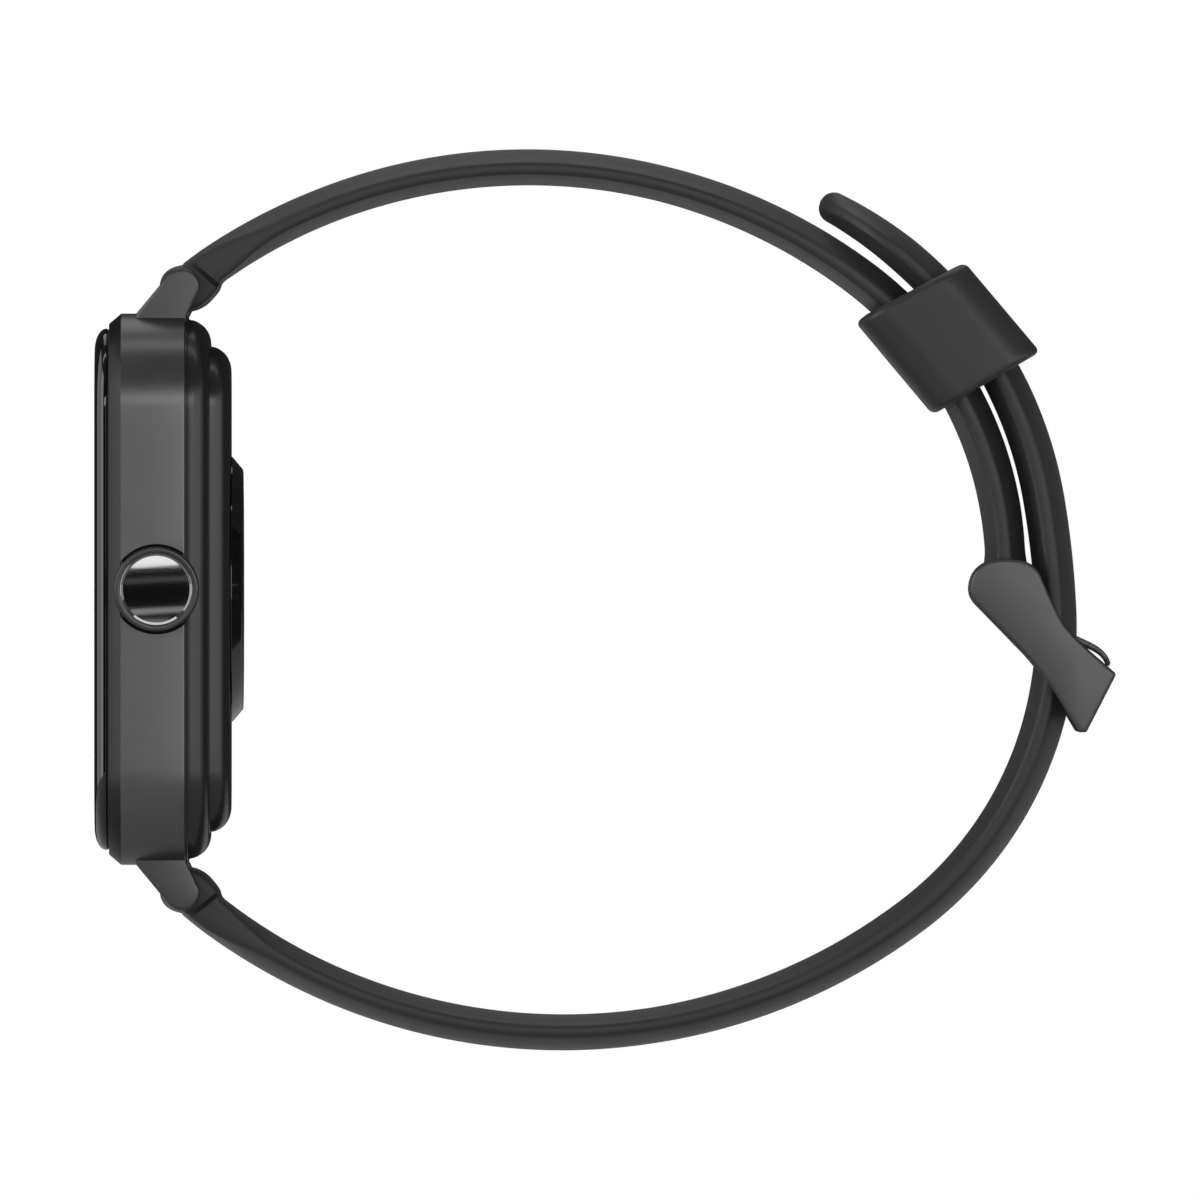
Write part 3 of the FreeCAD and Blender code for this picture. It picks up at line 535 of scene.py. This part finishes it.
def dial():
    """Generic watch face under the glass front: ticks, numbers, hands and two progress arcs."""
    front = GLASS_LOW[1] - 0.012
    white = lit("screen_white", (0.75, 0.78, 0.8), 0.9)
    soft = lit("screen_grey", (0.3, 0.32, 0.34), 0.45)
    accent = lit("screen_accent", (0.95, 0.36, 0.05), 1.0)
    cool = lit("screen_blue", (0.08, 0.45, 0.75), 0.9)
    points, faces = [], []
    for minute in range(60):
        long = minute % 5 == 0
        outline = bar_outline(13.2 if long else 13.9, 14.7, 0.36 if long else 0.14, minute * 6)
        points, faces = add_slab(points, faces, outline, front)
    piece("dial_ticks", points, faces, soft, "case", "display_black")
    hands = [("hour_hand", -1.4, 7.2, 0.95, 304, white), ("minute_hand", -1.6, 11.6, 0.62, 48, white),
             ("second_hand", -3.0, 12.6, 0.2, 200, accent)]
    for layer, (name, tail, reach, width, angle, glow) in enumerate(hands):
        outline = bar_outline(tail, reach, width, angle)
        body = add_slab([], [], outline, front - 0.006 * (layer + 1))
        piece(name, *body, glow, "case", "display_black")
    inner, outer = 15.75, 16.25
    for name, start, sweep, glow in (("ring_outer", 140, 80, cool), ("ring_inner", 320, 62, accent)):
        angle = np.radians(np.linspace(start, start + sweep, 60))
        radial = np.stack([np.sin(angle), np.cos(angle)], -1)
        outline = np.concatenate([radial * outer, (radial * inner)[::-1]])
        piece(name, *add_slab([], [], outline, front), glow, "case", "display_black")
    for hour in range(1, 13):
        digits(str(hour), hour * 30, 11.2, 2.3, front, white)


def bar_outline(near, far, width, clock):
    """Bar along a clock angle in degrees, from near to far of the centre, as X and Z."""
    angle = math.radians(clock)
    along = np.array([math.sin(angle), math.cos(angle)])
    beside = np.array([along[1], -along[0]]) * width / 2
    near, far = along * near, along * far
    return np.array([near - beside, far - beside, far + beside, near + beside])


def add_slab(points, faces, outline, front, thick=0.008):
    """Add a thin slab of an XZ outline standing at front, to lists of points and faces."""
    rings = [np.column_stack([outline[:, 0], np.full(len(outline), y), outline[:, 1]])
             for y in (front + thick, front)]
    new_points, new_faces = stack(rings)
    shift = len(points)
    return list(points) + new_points.tolist(), faces + [[i + shift for i in face] for face in new_faces]


def digits(text, clock, reach, size, front, material):
    """One number of the dial, upright, its middle on the clock angle."""
    curve = bpy.data.curves.new("digits", "FONT")
    curve.body = text
    curve.size = size * MM
    curve.extrude = 0.004 * MM
    curve.align_x = "CENTER"
    curve.align_y = "CENTER"
    made = add_object("digits", curve)
    graph = bpy.context.evaluated_depsgraph_get()
    mesh = bpy.data.meshes.new_from_object(made.evaluated_get(graph))
    bpy.data.objects.remove(made)
    coords = np.empty(len(mesh.vertices) * 3)
    mesh.vertices.foreach_get("co", coords)
    coords = coords.reshape(-1, 3) / MM
    angle = math.radians(clock)
    x = coords[:, 0] + reach * math.sin(angle)
    z = coords[:, 1] + reach * math.cos(angle)
    placed = np.column_stack([x, front - coords[:, 2], z])
    faces = [list(polygon.vertices) for polygon in mesh.polygons]
    piece("number_" + text, placed, faces, material, "case", "display_black")


# ---- crown

def crown():
    """Crown: a fluted rim and flat ring, a polished inner bevel, and a slightly domed polished face."""
    in_x, out_x = KNOB_LOW[0], KNOB_HIGH[0]
    teeth, lip_r, face_r = 36, 2.9, 2.66
    profile = [(in_x, 1.2), (in_x, CROWN_R - 0.2), (in_x + 0.12, CROWN_R - 0.03), (in_x + 0.3, CROWN_R)]
    side = np.linspace(in_x + 0.4, out_x - 0.5, 8)
    profile += [(x, CROWN_R) for x in side]
    lip = arc_profile((CROWN_R, out_x - 0.16), (CROWN_R - 0.14, out_x), 6)
    profile += [(x, r) for r, x in lip]
    profile += [(out_x, lip_r + 0.05), (out_x - 0.02, lip_r)]
    profile += [(out_x - 0.3, lip_r - 0.01), (out_x - 0.36, 1.0)]
    profile = np.array(profile)

    def flutes(rows, angle):
        """Rounded grooves along the rim only: the radius dips where the cosine peaks."""
        x, radius = rows.T
        on_side = (x > in_x + 0.2) & (x < out_x - 0.3) & (radius > CROWN_R - 0.05)
        return -0.09 * on_side[:, None] * np.clip(np.cos(teeth * angle), 0, 1) ** 0.7

    piece("crown_rim", *lathe_x(profile, CROWN_AXIS, teeth * 16, flutes), CROWN_METAL, "crown",
          "crown_metal", ("crown_knob",), crease=35)
    bevel_x = out_x - 0.19
    edge_tilt = math.radians(4.3)
    dome = face_r / math.sin(edge_tilt)
    r = np.linspace(face_r, 0.02, 18)
    face = [(bevel_x - 0.06, lip_r - 0.03), (out_x - 0.05, lip_r - 0.02), (out_x - 0.03, lip_r - 0.06)]
    face += [(bevel_x + 0.01, face_r + 0.01)]
    face += [(bevel_x + np.sqrt(dome ** 2 - q ** 2) - dome * math.cos(edge_tilt), q) for q in r]
    piece("crown_face", *lathe_x(face, CROWN_AXIS, 160), CROWN_FACE, "crown", "crown_face",
          ("crown_cap",), crease=12)
    # Black rubber liner on the crown pocket's floor and wall: a dark sheet that paints the shade deep in the
    # pocket.
    back_x, front_x, side_x = POCKET_FLOOR + 0.01, POCKET_FLOOR + 0.08, CASE_W / 2 - 0.1
    shade_liner = np.array([(back_x, 2.0), (back_x, POCKET_R + 0.1), (side_x, POCKET_R + 0.1),
                      (side_x, POCKET_R - 0.03), (front_x, POCKET_R - 0.03), (front_x, 2.0)])
    for name, start in (("upper", 53.0), ("lower", 219.5)):
        angle = np.radians(np.linspace(start, start + 87.5, 60))[:, None]
        rings = np.stack([shade_liner[:, 0] * np.ones((60, 1)), CROWN_AXIS[0] + shade_liner[:, 1] * np.cos(angle),
                          CROWN_AXIS[1] + shade_liner[:, 1] * np.sin(angle)], -1)
        piece("pocket_shade_liner_" + name, *stack(rings), SEAL_RUBBER, "case", "seal_rubber", crease=40)


# ---- straps

def running_sum(values, step):
    """Area under evenly spaced values up to each of them, by trapezoids."""
    return np.concatenate([[0], np.cumsum((values[1:] + values[:-1]) / 2 * step)])


def strap_line(start, heading, arcs, turn, lead, tail, count=6000):
    """Centre line of a strap: heading is the sum of curvature over length, and place the sum of heading."""
    length = sum(radius * math.radians(sweep) for radius, sweep in arcs)
    s = np.linspace(-lead, length + tail, count)
    edges = np.cumsum([radius * math.radians(sweep) for radius, sweep in arcs])
    bend = np.zeros(count)
    begin = 0.0
    for (radius, _), end in zip(arcs, edges):
        bend[(s >= begin) & (s < end)] = turn / radius
        begin = end
    step = s[1] - s[0]
    angle = math.radians(heading) + running_sum(bend, step)
    y = running_sum(np.cos(angle), step)
    z = running_sum(np.sin(angle), step)
    y += start[0] - np.interp(0, s, y)
    z += start[1] - np.interp(0, s, z)
    return {"s": s, "y": y, "z": z, "angle": angle, "turn": turn, "length": length}


def on_line(line, s, offset=0.0):
    """Y and Z of points at lengths s along a line, moved outwards from the loop by offset."""
    y = np.interp(s, line["s"], line["y"])
    z = np.interp(s, line["s"], line["z"])
    angle = np.interp(s, line["s"], line["angle"])
    out_y = line["turn"] * np.sin(angle)
    out_z = -line["turn"] * np.cos(angle)
    return y + offset * out_y, z + offset * out_z


def strap_sections(points=84):
    """Two strap sections for a width and thickness of 1: nearly square by the case, crowned beyond.

    Each face leaves its middle height by a fourth power of X, down to the height of the side wall.
    """
    half, middle = STRAP_W / 2, STRAP_T / 2
    x = np.linspace(-half, half, 17)[1:-1]
    outlines = []
    for wall_in, wall_out in ((-1.36, 1.1), (-0.62, 0.28)):
        inside = -middle + (middle + wall_in) * (x / half) ** 4
        outside = middle - (middle - wall_out) * (x / half) ** 4
        corners = list(zip(x, inside)) + [(half, wall_in), (half, wall_out)]
        corners += list(zip(x[::-1], outside[::-1])) + [(-half, wall_out), (-half, wall_in)]
        radii = [1.0] * len(x) + [0.4, 0.4] + [1.0] * len(x) + [0.4, 0.4]
        outlines.append(rounded_polygon(corners, radii, 5))
    closed = np.vstack([outlines[1], outlines[1][:1]])
    run = np.concatenate([[0], np.cumsum(np.linalg.norm(np.diff(closed, axis=0), axis=1))])
    edge_weight = 1 + 3.0 * (np.abs(closed[:, 0]) > half - 1.2)
    density = np.concatenate([[0], np.cumsum(np.diff(run) * edge_weight[1:])])
    at = np.linspace(0, density[-1], points, endpoint=False)
    made = []
    for outline in outlines:
        closed = np.vstack([outline, outline[:1]])
        x = np.interp(at, density, closed[:, 0]) / STRAP_W
        made.append(np.column_stack([x, np.interp(at, density, closed[:, 1]) / STRAP_T]))
    return made


def strap_rings(line, s, width, inner, outer):
    """Strap section carried along a line, with a width and a half thickness each way at each length."""
    square, crowned = strap_sections()
    share = smooth_step(s, 2.4, 9.0)[:, None]
    x = width[:, None] * (square[:, 0] * (1 - share) + crowned[:, 0] * share)
    level = square[:, 1] * (1 - share) + crowned[:, 1] * share
    height = 2 * level * np.where(level > 0, outer[:, None], inner[:, None])
    lean = -0.24 * (1 - smooth_step(s, 2.0, 6.0)) * smooth_step(s, 0.7, SHOULDER)
    y, z = on_line(line, s[:, None] + lean[:, None] * height, height)
    return np.stack([x, y, z], -1)


def smooth_step(value, low, high):
    """Rises from 0 to 1 between low and high, as 3t squared minus 2t cubed."""
    t = np.clip((value - low) / (high - low), 0, 1)
    return t * t * (3 - 2 * t)


def soft_max(a, b, width=0.12):
    """Larger of two values, with the corner between them rounded over a width."""
    return (a + b + np.sqrt((a - b) ** 2 + width ** 2)) / 2


def bump(s, top, radius, start):
    """Half height of a barrel: an ellipse from start to its top, then a circle coming down."""
    rise = np.sqrt(np.clip(1 - ((top - s) / (top - start)) ** 2, 0, None))
    fall = np.sqrt(np.clip(1 - ((s - top) / radius) ** 2, 0, None))
    return radius * np.where(s < top, rise, fall)


def root_shape(s, body):
    """Width, wrist-side and outer half thickness beside the case: barrel, neck, then full width."""
    width = NECK_W + (STRAP_W - NECK_W) * smooth_step(s, SHOULDER - 0.1, SHOULDER + 0.16)
    started = smooth_step(s, -0.6, 1.2)
    inner = soft_max(bump(s, 0.35, WRIST_BULGE, -BARREL_R), body * started, 0.3)
    outer = soft_max(bump(s, -0.45, OUTER_BULGE, -BARREL_R), body * started, 0.3)
    closed = np.sqrt(np.clip(1 - ((-s - BARREL_R + 0.5) / 0.5).clip(0, 1) ** 2, 0, 1))
    return width, inner * closed, outer * closed


def stations(*spans):
    """Lengths along a strap: each span is (low, high, count), joined without repeats."""
    return np.unique(np.concatenate([np.linspace(low, high, count) for low, high, count in spans]).round(5))


SHORT_LINE = strap_line(UPPER_AXIS, SHORT_HEADING, SHORT_ARCS, -1, BARREL_R, END_R)
LONG_LINE = strap_line(LOWER_AXIS, LONG_HEADING, LONG_ARCS, 1, BARREL_R, 0.0)


def short_strap():
    """Strap at 12 o'clock, one body of rubber from the case to the buckle pin."""
    length = SHORT_LINE["length"]
    s = stations((-BARREL_R, -1.6, 9), (-1.6, 3, 26), (3, length - 4, 110), (length - 4, length + 1.4, 20),
                 (length + 1.4, length + END_R, 9))
    body = np.interp(s, [0, 3, 12, 40, 56, 66, 80, length], [1.46, 1.5, 1.43, 1.39, 1.5, 1.6, 1.6, 1.55])
    width, inner, outer = root_shape(s, body)
    end_round = np.sqrt(np.clip(END_R ** 2 - np.clip(s - length, 0, END_R) ** 2, 0, None))
    swell = smooth_step(s, length - 3.4, length - 0.4)
    inner, outer = (half * (1 - swell) + end_round * swell + 0.01 for half in (inner, outer))
    rings = strap_rings(SHORT_LINE, s, width, inner, outer)
    strap = piece("short_strap", *stack(rings), STRAP_RUBBER, None, "strap_rubber", crease=48)
    y, z = PIVOT
    notch = rounded_polygon([(y - 2.4, z - 4), (y + 4, z - 4), (y + 4, z + 2.4), (y - 2.4, z + 2.4)], 0.5, 6)
    carve(strap, *plate(notch, -1.5, 1.5, 0.05, 2))
    carve(strap, *release_slot(UPPER_AXIS, SHORT_HEADING - 90))
    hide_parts("short_strap_root", "short_strap_end")
    bend_over(strap)


def release_slot(axis, inward_angle):
    """Slot on the wrist side of the barrel for the spring bar's knob."""
    along = np.radians(inward_angle)
    to_wrist = np.array([math.cos(along), math.sin(along)])
    beside = np.array([-to_wrist[1], to_wrist[0]])
    near, far = axis + to_wrist * 0.2, axis + to_wrist * 3.4
    beside = beside * 0.75
    outline = np.array([near - beside, far - beside, far + beside, near + beside])
    return plate(rounded_polygon(outline, 0.3, 5), 4.3, 7.2, 0.3, 4)


def long_strap():
    """Strap at 6 o'clock, with its holes and its rounded, thinning tip."""
    length = LONG_LINE["length"]
    s = stations((-BARREL_R, -1.6, 9), (-1.6, 3, 26), (3, length - 10, 170), (length - 10, length - 1.2, 34),
                 (length - 1.2, length, 14))
    left = length - s
    body = np.interp(s, [0, 3, 12, 40, 66, 84, 100, length - 22, length - 8, length],
                     [1.46, 1.5, 1.44, 1.39, 1.5, 1.61, 1.62, 1.6, 1.42, 1.17])
    width, inner, outer = root_shape(s, body)
    tip = np.sqrt(np.clip(1 - np.clip(1 - left / 1.15, 0, 1) ** 2, 0, 1))
    inner, outer = (half * tip + 0.01 for half in (inner, outer))
    plan = np.sqrt(np.clip(1 - np.clip(1 - left / TIP_LENGTH, 0, 1) ** 2.4, 0, 1))
    rings = strap_rings(LONG_LINE, s, np.maximum(width * plan, 0.02), inner, outer)
    strap = piece("long_strap", *stack(rings), STRAP_RUBBER, None, "strap_rubber", crease=48)
    for index in range(HOLE_COUNT):
        carve(strap, *hole_cutter(length - HOLE_FIRST - index * HOLE_PITCH))
    carve(strap, *release_slot(LOWER_AXIS, LONG_HEADING + 90))
    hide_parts("long_strap_root", "long_strap_end")
    bend_over(strap)


def hole_cutter(at):
    """Racetrack prism square through the long strap at one length."""
    half, straight = HOLE_W / 2, (HOLE_L - HOLE_W) / 2
    angle = np.linspace(0, np.pi, 15)
    top = np.column_stack([half * np.cos(angle), straight + half * np.sin(angle)])
    outline = np.vstack([top, -top])
    middle = np.array(on_line(LONG_LINE, at))
    outside = np.array(on_line(LONG_LINE, at, 1.0)) - middle
    forward = np.array([-outside[1], outside[0]])
    rings = []
    for height in (-3.0, 3.0):
        place = middle + outside * height + outline[:, 1:2] * forward
        rings.append(np.column_stack([outline[:, 0], place]))
    return stack(rings)


def bend_over(strap):
    """Bake a strap's placement into its mesh."""
    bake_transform(strap)


# ---- keeper and buckle

def keeper():
    """Keeper: a leaning box outside with rounded edges, and a curved channel inside for both layers."""
    corners = np.array([(48.98, 21.42), (57.62, 26.1), (63.66, 18.94), (55.2, 13.98)])
    inner_r, outer_r = 27.4, 34.42
    half, wall_half, deep = 12.7, 11.32, 4.75
    edge, lip = 0.55, 0.25
    reach = np.linalg.norm(corners[0] - corners[3]) / 2
    u = np.concatenate([-reach + edge * (1 - np.cos(np.linspace(0, np.pi / 2, 7))),
                        np.linspace(-reach + edge, reach - edge, 15)[1:-1],
                        reach - edge * (1 - np.cos(np.linspace(np.pi / 2, 0, 7)))])
    past = np.clip((np.abs(u) - reach + edge) / edge, 0, 1)
    shrink = edge * (1 - np.sqrt(1 - past ** 2))
    u = u / reach
    box = rounded_polygon([(-half, -deep), (half, -deep), (half, deep), (-half, deep)], 2.6, 12)
    rings = []

    def ends(along):
        """Wrist-side and outer ends of the leaning box at one place along the strap."""
        return [corners[a] * (1 - along) / 2 + corners[b] * (1 + along) / 2 for a, b in ((0, 3), (1, 2))]

    for along, less in zip(u, shrink):
        b = box[:, 1] / deep * (1 - less / deep)
        low, high = ends(along)
        place = low * ((1 - b) / 2)[:, None] + high * ((1 + b) / 2)[:, None]
        rings.append(np.column_stack([box[:, 0] * (1 - less / half), place]))
    gap = 3.5
    tunnel = rounded_polygon([(-wall_half, -gap), (wall_half, -gap), (wall_half, gap), (-wall_half, gap)],
                             0.6, 12)
    for along, less in zip(u[::-1], shrink[::-1] * lip / edge):
        b = tunnel[:, 1] / gap
        radius = (inner_r + outer_r) / 2 + b * ((outer_r - inner_r) / 2 + less)
        low, high = ends(along)
        near = low + (high - low) * ((radius - 26.4) / 9.2)[:, None]
        towards = unit(near - LAP_CENTRE)
        rings.append(np.column_stack([tunnel[:, 0] * (1 + less / wall_half),
                                      LAP_CENTRE + towards * radius[:, None]]))
    piece("keeper_band", *stack(rings, wrap_rows=True), KEEPER_RUBBER, "keeper", "keeper_rubber",
          ("strap_keeper",), crease=45)


def flowing(points, steps=8):
    """Curve through points, each span a cubic whose end slopes match the neighbouring points."""
    points = np.asarray(points, dtype=float)
    before = np.vstack([2 * points[0] - points[1], points[:-2]])
    after = np.vstack([points[2:], 2 * points[-1] - points[-2]])
    a, b = points[:-1, None], points[1:, None]
    slope_a, slope_b = (b - before[:, None]) / 2, (after[:, None] - a) / 2
    t = np.linspace(0, 1, steps, endpoint=False)[None, :, None]
    spans = ((2 * t ** 3 - 3 * t ** 2 + 1) * a + (t ** 3 - 2 * t ** 2 + t) * slope_a
             + (3 * t ** 2 - 2 * t ** 3) * b + (t ** 3 - t ** 2) * slope_b)
    return np.vstack([spans.reshape(-1, 2), points[-1:]])


def buckle():
    """Buckle: two side plates with round ends on the pin, and the bar that the tongue rests on."""
    upper = flowing([(64.52, -7.82), (62.92, -5.74), (61.2, -3.92), (59.32, -1.98), (58.3, -0.86),
                     (58.04, 0.15), (58.4, 1.34), (59.35, 2.16), (60.8, 2.42), (62.4, 2.24), (63.4, 1.56),
                     (63.93, 0.5), (64.6, -1.02), (65.4, -2.54), (66.4, -3.76), (67.72, -5.02)])
    lower = rounded_polygon([(67.2, -4.5), (69.72, -6.76), (67.32, -11.42), (66.66, -11.42), (64.52, -7.82)],
                            [0.02, 0.32, 0.3, 0.3, 0.02], 7)
    outline = np.vstack([upper, lower[7:-7]])
    inner_x, outer_x = 11.35, node_box("buckle_frame")[1][0]
    for side, name in ((-1, "left"), (1, "right")):
        span = sorted((side * inner_x, side * outer_x))
        replaced = ("buckle_frame",) if side > 0 else ()
        piece("buckle_plate_" + name, *plate(outline, span[0], span[1], 0.3), BUCKLE_METAL, "buckle",
              "buckle_metal", replaced, crease=40)
    bar = rounded_polygon([(66.95, -6.1), (68.5, -6.0), (69.45, -6.9), (67.3, -11.15), (66.75, -11.05)],
                          [0.45, 0.4, 0.4, 0.2, 0.2], 7)
    piece("buckle_bar", *plate(bar, -11.9, 11.9, 0.2), BUCKLE_METAL, "buckle", "buckle_metal", crease=40)


def tongue():
    """Tongue: a curved blade that thins towards its tip, and the eye that holds it on the pin."""
    route = flowing([(61.3, -0.75), (62.2, -1.35), (63.5, -2.35), (64.9, -3.2), (66.3, -3.88), (67.85, -4.6),
                     (68.6, -5.1), (69.0, -5.6), (69.22, -6.15)])
    run = np.concatenate([[0], np.cumsum(np.linalg.norm(np.diff(route, axis=0), axis=1))])
    s = np.linspace(0, run[-1], 60)
    y, z = np.interp(s, run, route[:, 0]), np.interp(s, run, route[:, 1])
    ty, tz = np.gradient(y, s), np.gradient(z, s)
    norm = np.hypot(ty, tz)
    ny, nz = tz / norm, -ty / norm
    left = run[-1] - s
    thick = np.interp(s, [0, run[-1] * 0.75, run[-1]], [0.6, 0.56, 0.42])
    thick = thick * np.sqrt(np.clip(1 - np.clip(1 - left / 0.25, 0, 1) ** 2, 0.02, 1))
    width = 2.0 * np.sqrt(np.clip(1 - np.clip(1 - left / 0.9, 0, 1) ** 2, 0.02, 1))
    section = rounded_polygon([(-0.5, -0.5), (0.5, -0.5), (0.5, 0.5), (-0.5, 0.5)], 0.2, 6)
    height = thick[:, None] * section[:, 1]
    grid = np.stack([width[:, None] * section[:, 0], y[:, None] + ny[:, None] * height,
                     z[:, None] + nz[:, None] * height], -1)
    piece("tongue_blade", *stack(grid), BUCKLE_METAL, "tongue", "buckle_metal",
          ("buckle_tongue",), crease=45)
    eye = [(-1.0, 0.78), (-1.0, 1.35), (-0.9, 1.5), (0.9, 1.5), (1.0, 1.35), (1.0, 0.78)]
    piece("tongue_eye", *lathe_x(eye, PIVOT, 64, hollow=True), BUCKLE_METAL, "tongue", "buckle_metal",
          crease=40)


# ---- assembly

def bar_spring(side):
    """Compression spring in a spring bar: a round wire along a helix about X, with closed, flat ends.

    Y and Z go round once a turn, and X rises by the pitch, which falls to the wire's width at each end.
    """
    node = side + "_bar_spring"
    low, high = node_box(node)
    wire, turns, travel = 0.07, 9.0, 1.3
    radius = (high[2] - low[2]) / 2 - wire
    centre = (low + high) / 2
    t = np.linspace(0, 1, 217)
    pitch = 0.25 + smooth_step(t, 0.04, 0.18) * (1 - smooth_step(t, 0.82, 0.96))
    rise = np.concatenate([[0], np.cumsum((pitch[1:] + pitch[:-1]) / 2)])
    x = low[0] + wire + rise / rise[-1] * (high[0] - low[0] - 2 * wire)
    angle = 2 * np.pi * turns * t
    round_wire = full_turn(8)
    reach = radius + wire * np.cos(round_wire)
    rings = np.stack([x[:, None] + wire * np.sin(round_wire), centre[1] + reach * np.cos(angle)[:, None],
                      centre[2] + reach * np.sin(angle)[:, None]], -1)
    made = piece(side + "_spring_coil", *stack(rings), STEEL, side + "_root", "steel", (node,), crease=50)
    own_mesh(made)


def carried_nodes():
    """Give every CAD node the finish of its material slot."""
    slots = {entry["node"]: entry["material_slot"] for entry in frame["record"]["subparts"]}
    for name, made in frame["nodes"].items():
        made.data.materials.clear()
        made.data.materials.append(SLOT_FINISH[slots[name]])


def area_light(name, place, size, radiance, roll=0.0):
    """Soft light at a place in metres, facing the loop; power gives the radiance, roll is in degrees."""
    aim = (0.0, 0.028, 0.0)
    lamp = bpy.data.lights.new(name, "AREA")
    lamp.shape = "RECTANGLE"
    lamp.size, lamp.size_y = size
    lamp.energy = radiance * math.pi * size[0] * size[1]
    made = add_object(name, lamp)
    direction = np.array(aim) - np.array(place)
    made.location = place
    facing = Vector(direction.tolist()).to_track_quat("-Z", "Y")
    made.rotation_euler = (facing @ Quaternion((0.0, 0.0, 1.0), math.radians(roll))).to_euler()
    made.visible_camera = False


def studio():
    """Pale floor well below the strap, white surroundings and soft boxes."""
    level, sides = -60.0, 96
    angle = full_turn(sides)
    rings = [np.column_stack([r * np.cos(angle), r * np.sin(angle) + 28.5, np.full(sides, level)])
             for r in (450.0, 200.0, 50.0)]
    pale = finish("pale_floor", (0.62, 0.62, 0.62), 0.7, vary=0.01, grain=300.0, depth=0)
    shader = pale.node_tree.nodes["Principled BSDF"]
    shader.inputs["Emission Color"].default_value = (1.0, 1.0, 1.0, 1.0)
    tree = pale.node_tree
    # The floor looks pale to the camera, but lights the watch only a little.
    seen = tree.nodes.new("ShaderNodeLightPath")
    glow = tree.nodes.new("ShaderNodeMapRange")
    glow.inputs["To Min"].default_value = 0.04
    glow.inputs["To Max"].default_value = 0.42
    tree.links.new(seen.outputs["Is Camera Ray"], glow.inputs["Value"])
    tree.links.new(glow.outputs["Result"], shader.inputs["Emission Strength"])
    points, faces = stack(rings, caps=False)
    faces.append(list(range(2 * sides, 3 * sides)))
    floor = piece("floor", points, faces, pale)
    world = bpy.data.worlds.new("studio")
    world.use_nodes = True
    bpy.context.scene.world = world
    tree = world.node_tree
    join = tree.links.new
    background = tree.nodes["Background"]
    path = tree.nodes.new("ShaderNodeLightPath")
    coords = tree.nodes.new("ShaderNodeTexCoord")
    split = tree.nodes.new("ShaderNodeSeparateXYZ")
    join(coords.outputs["Generated"], split.inputs["Vector"])
    spread = tree.nodes.new("ShaderNodeMapRange")
    spread.inputs["From Min"].default_value = -1.0
    join(split.outputs["X"], spread.inputs["Value"])
    ramp = tree.nodes.new("ShaderNodeValToRGB")
    ramp.color_ramp.elements[0].color = (0.02, 0.02, 0.02, 1)
    ramp.color_ramp.elements[1].color = (0.015, 0.015, 0.015, 1)
    for spot, grey in ((0.3, 0.05), (0.5, 0.16), (0.85, 0.10), (0.96, 0.015)):
        ramp.color_ramp.elements.new(spot).color = (grey, grey, grey, 1)
    join(spread.outputs["Result"], ramp.inputs["Fac"])
    choose = tree.nodes.new("ShaderNodeMix")
    choose.data_type = "RGBA"
    choose.inputs["B"].default_value = (1.0, 1.0, 1.0, 1.0)
    join(path.outputs["Is Camera Ray"], choose.inputs["Factor"])
    join(ramp.outputs["Color"], choose.inputs["A"])
    join(choose.outputs["Result"], background.inputs["Color"])
    area_light("upper_strip", (1.37, 0.06, 0.27), (1.8, 0.25), 2.9, 3.0)
    area_light("dim_strip", (1.40, 0.03, 0.062), (0.5, 0.035), 0.16, 3.0)
    area_light("thin_strip", (1.40, 0.03, -0.134), (1.2, 0.032), 0.8, 3.0)
    area_light("rear_panel", (0.72, 0.67, 0.05), (1.25, 0.55), 1.6)
    area_light("wrist_panel", (0.03, 0.95, 0.05), (0.5, 0.5), 0.6)
    area_light("front_strip", (0.33, -0.60, 0.0), (0.40, 1.2), 2.6)
    area_light("front_panel", (-0.15, -0.85, 0.1), (0.8, 1.1), 1.1)
    area_light("high_strip", (0.11, 0.03, 0.84), (1.3, 0.12), 2.0)
    area_light("top_box", (-0.45, 0.03, 0.75), (0.7, 0.5), 1.05)


def camera():
    """Level camera on the crown side with a very long lens; the view is 96 mm wide."""
    distance, view_width, middle_y, middle_z = 4.2, 0.096, 0.02852, -0.00086
    lens = bpy.data.cameras.new("camera")
    lens.sensor_width = 36.0
    lens.lens = lens.sensor_width * distance / view_width
    lens.clip_start = 0.1
    lens.clip_end = 50.0
    made = add_object("camera", lens)
    made.location = (distance, middle_y, middle_z)
    made.rotation_euler = (math.pi / 2, 0.0, math.pi / 2)
    bpy.context.scene.camera = made


carried_nodes()
cover_glass()
mid_frame()
rear_shell()
sensor_window()
charge_pads()
dial()
crown()
short_strap()
long_strap()
keeper()
buckle()
tongue()
bar_spring("upper")
bar_spring("lower")
studio()
camera()
bpy.context.scene.view_settings.view_transform = "Standard"
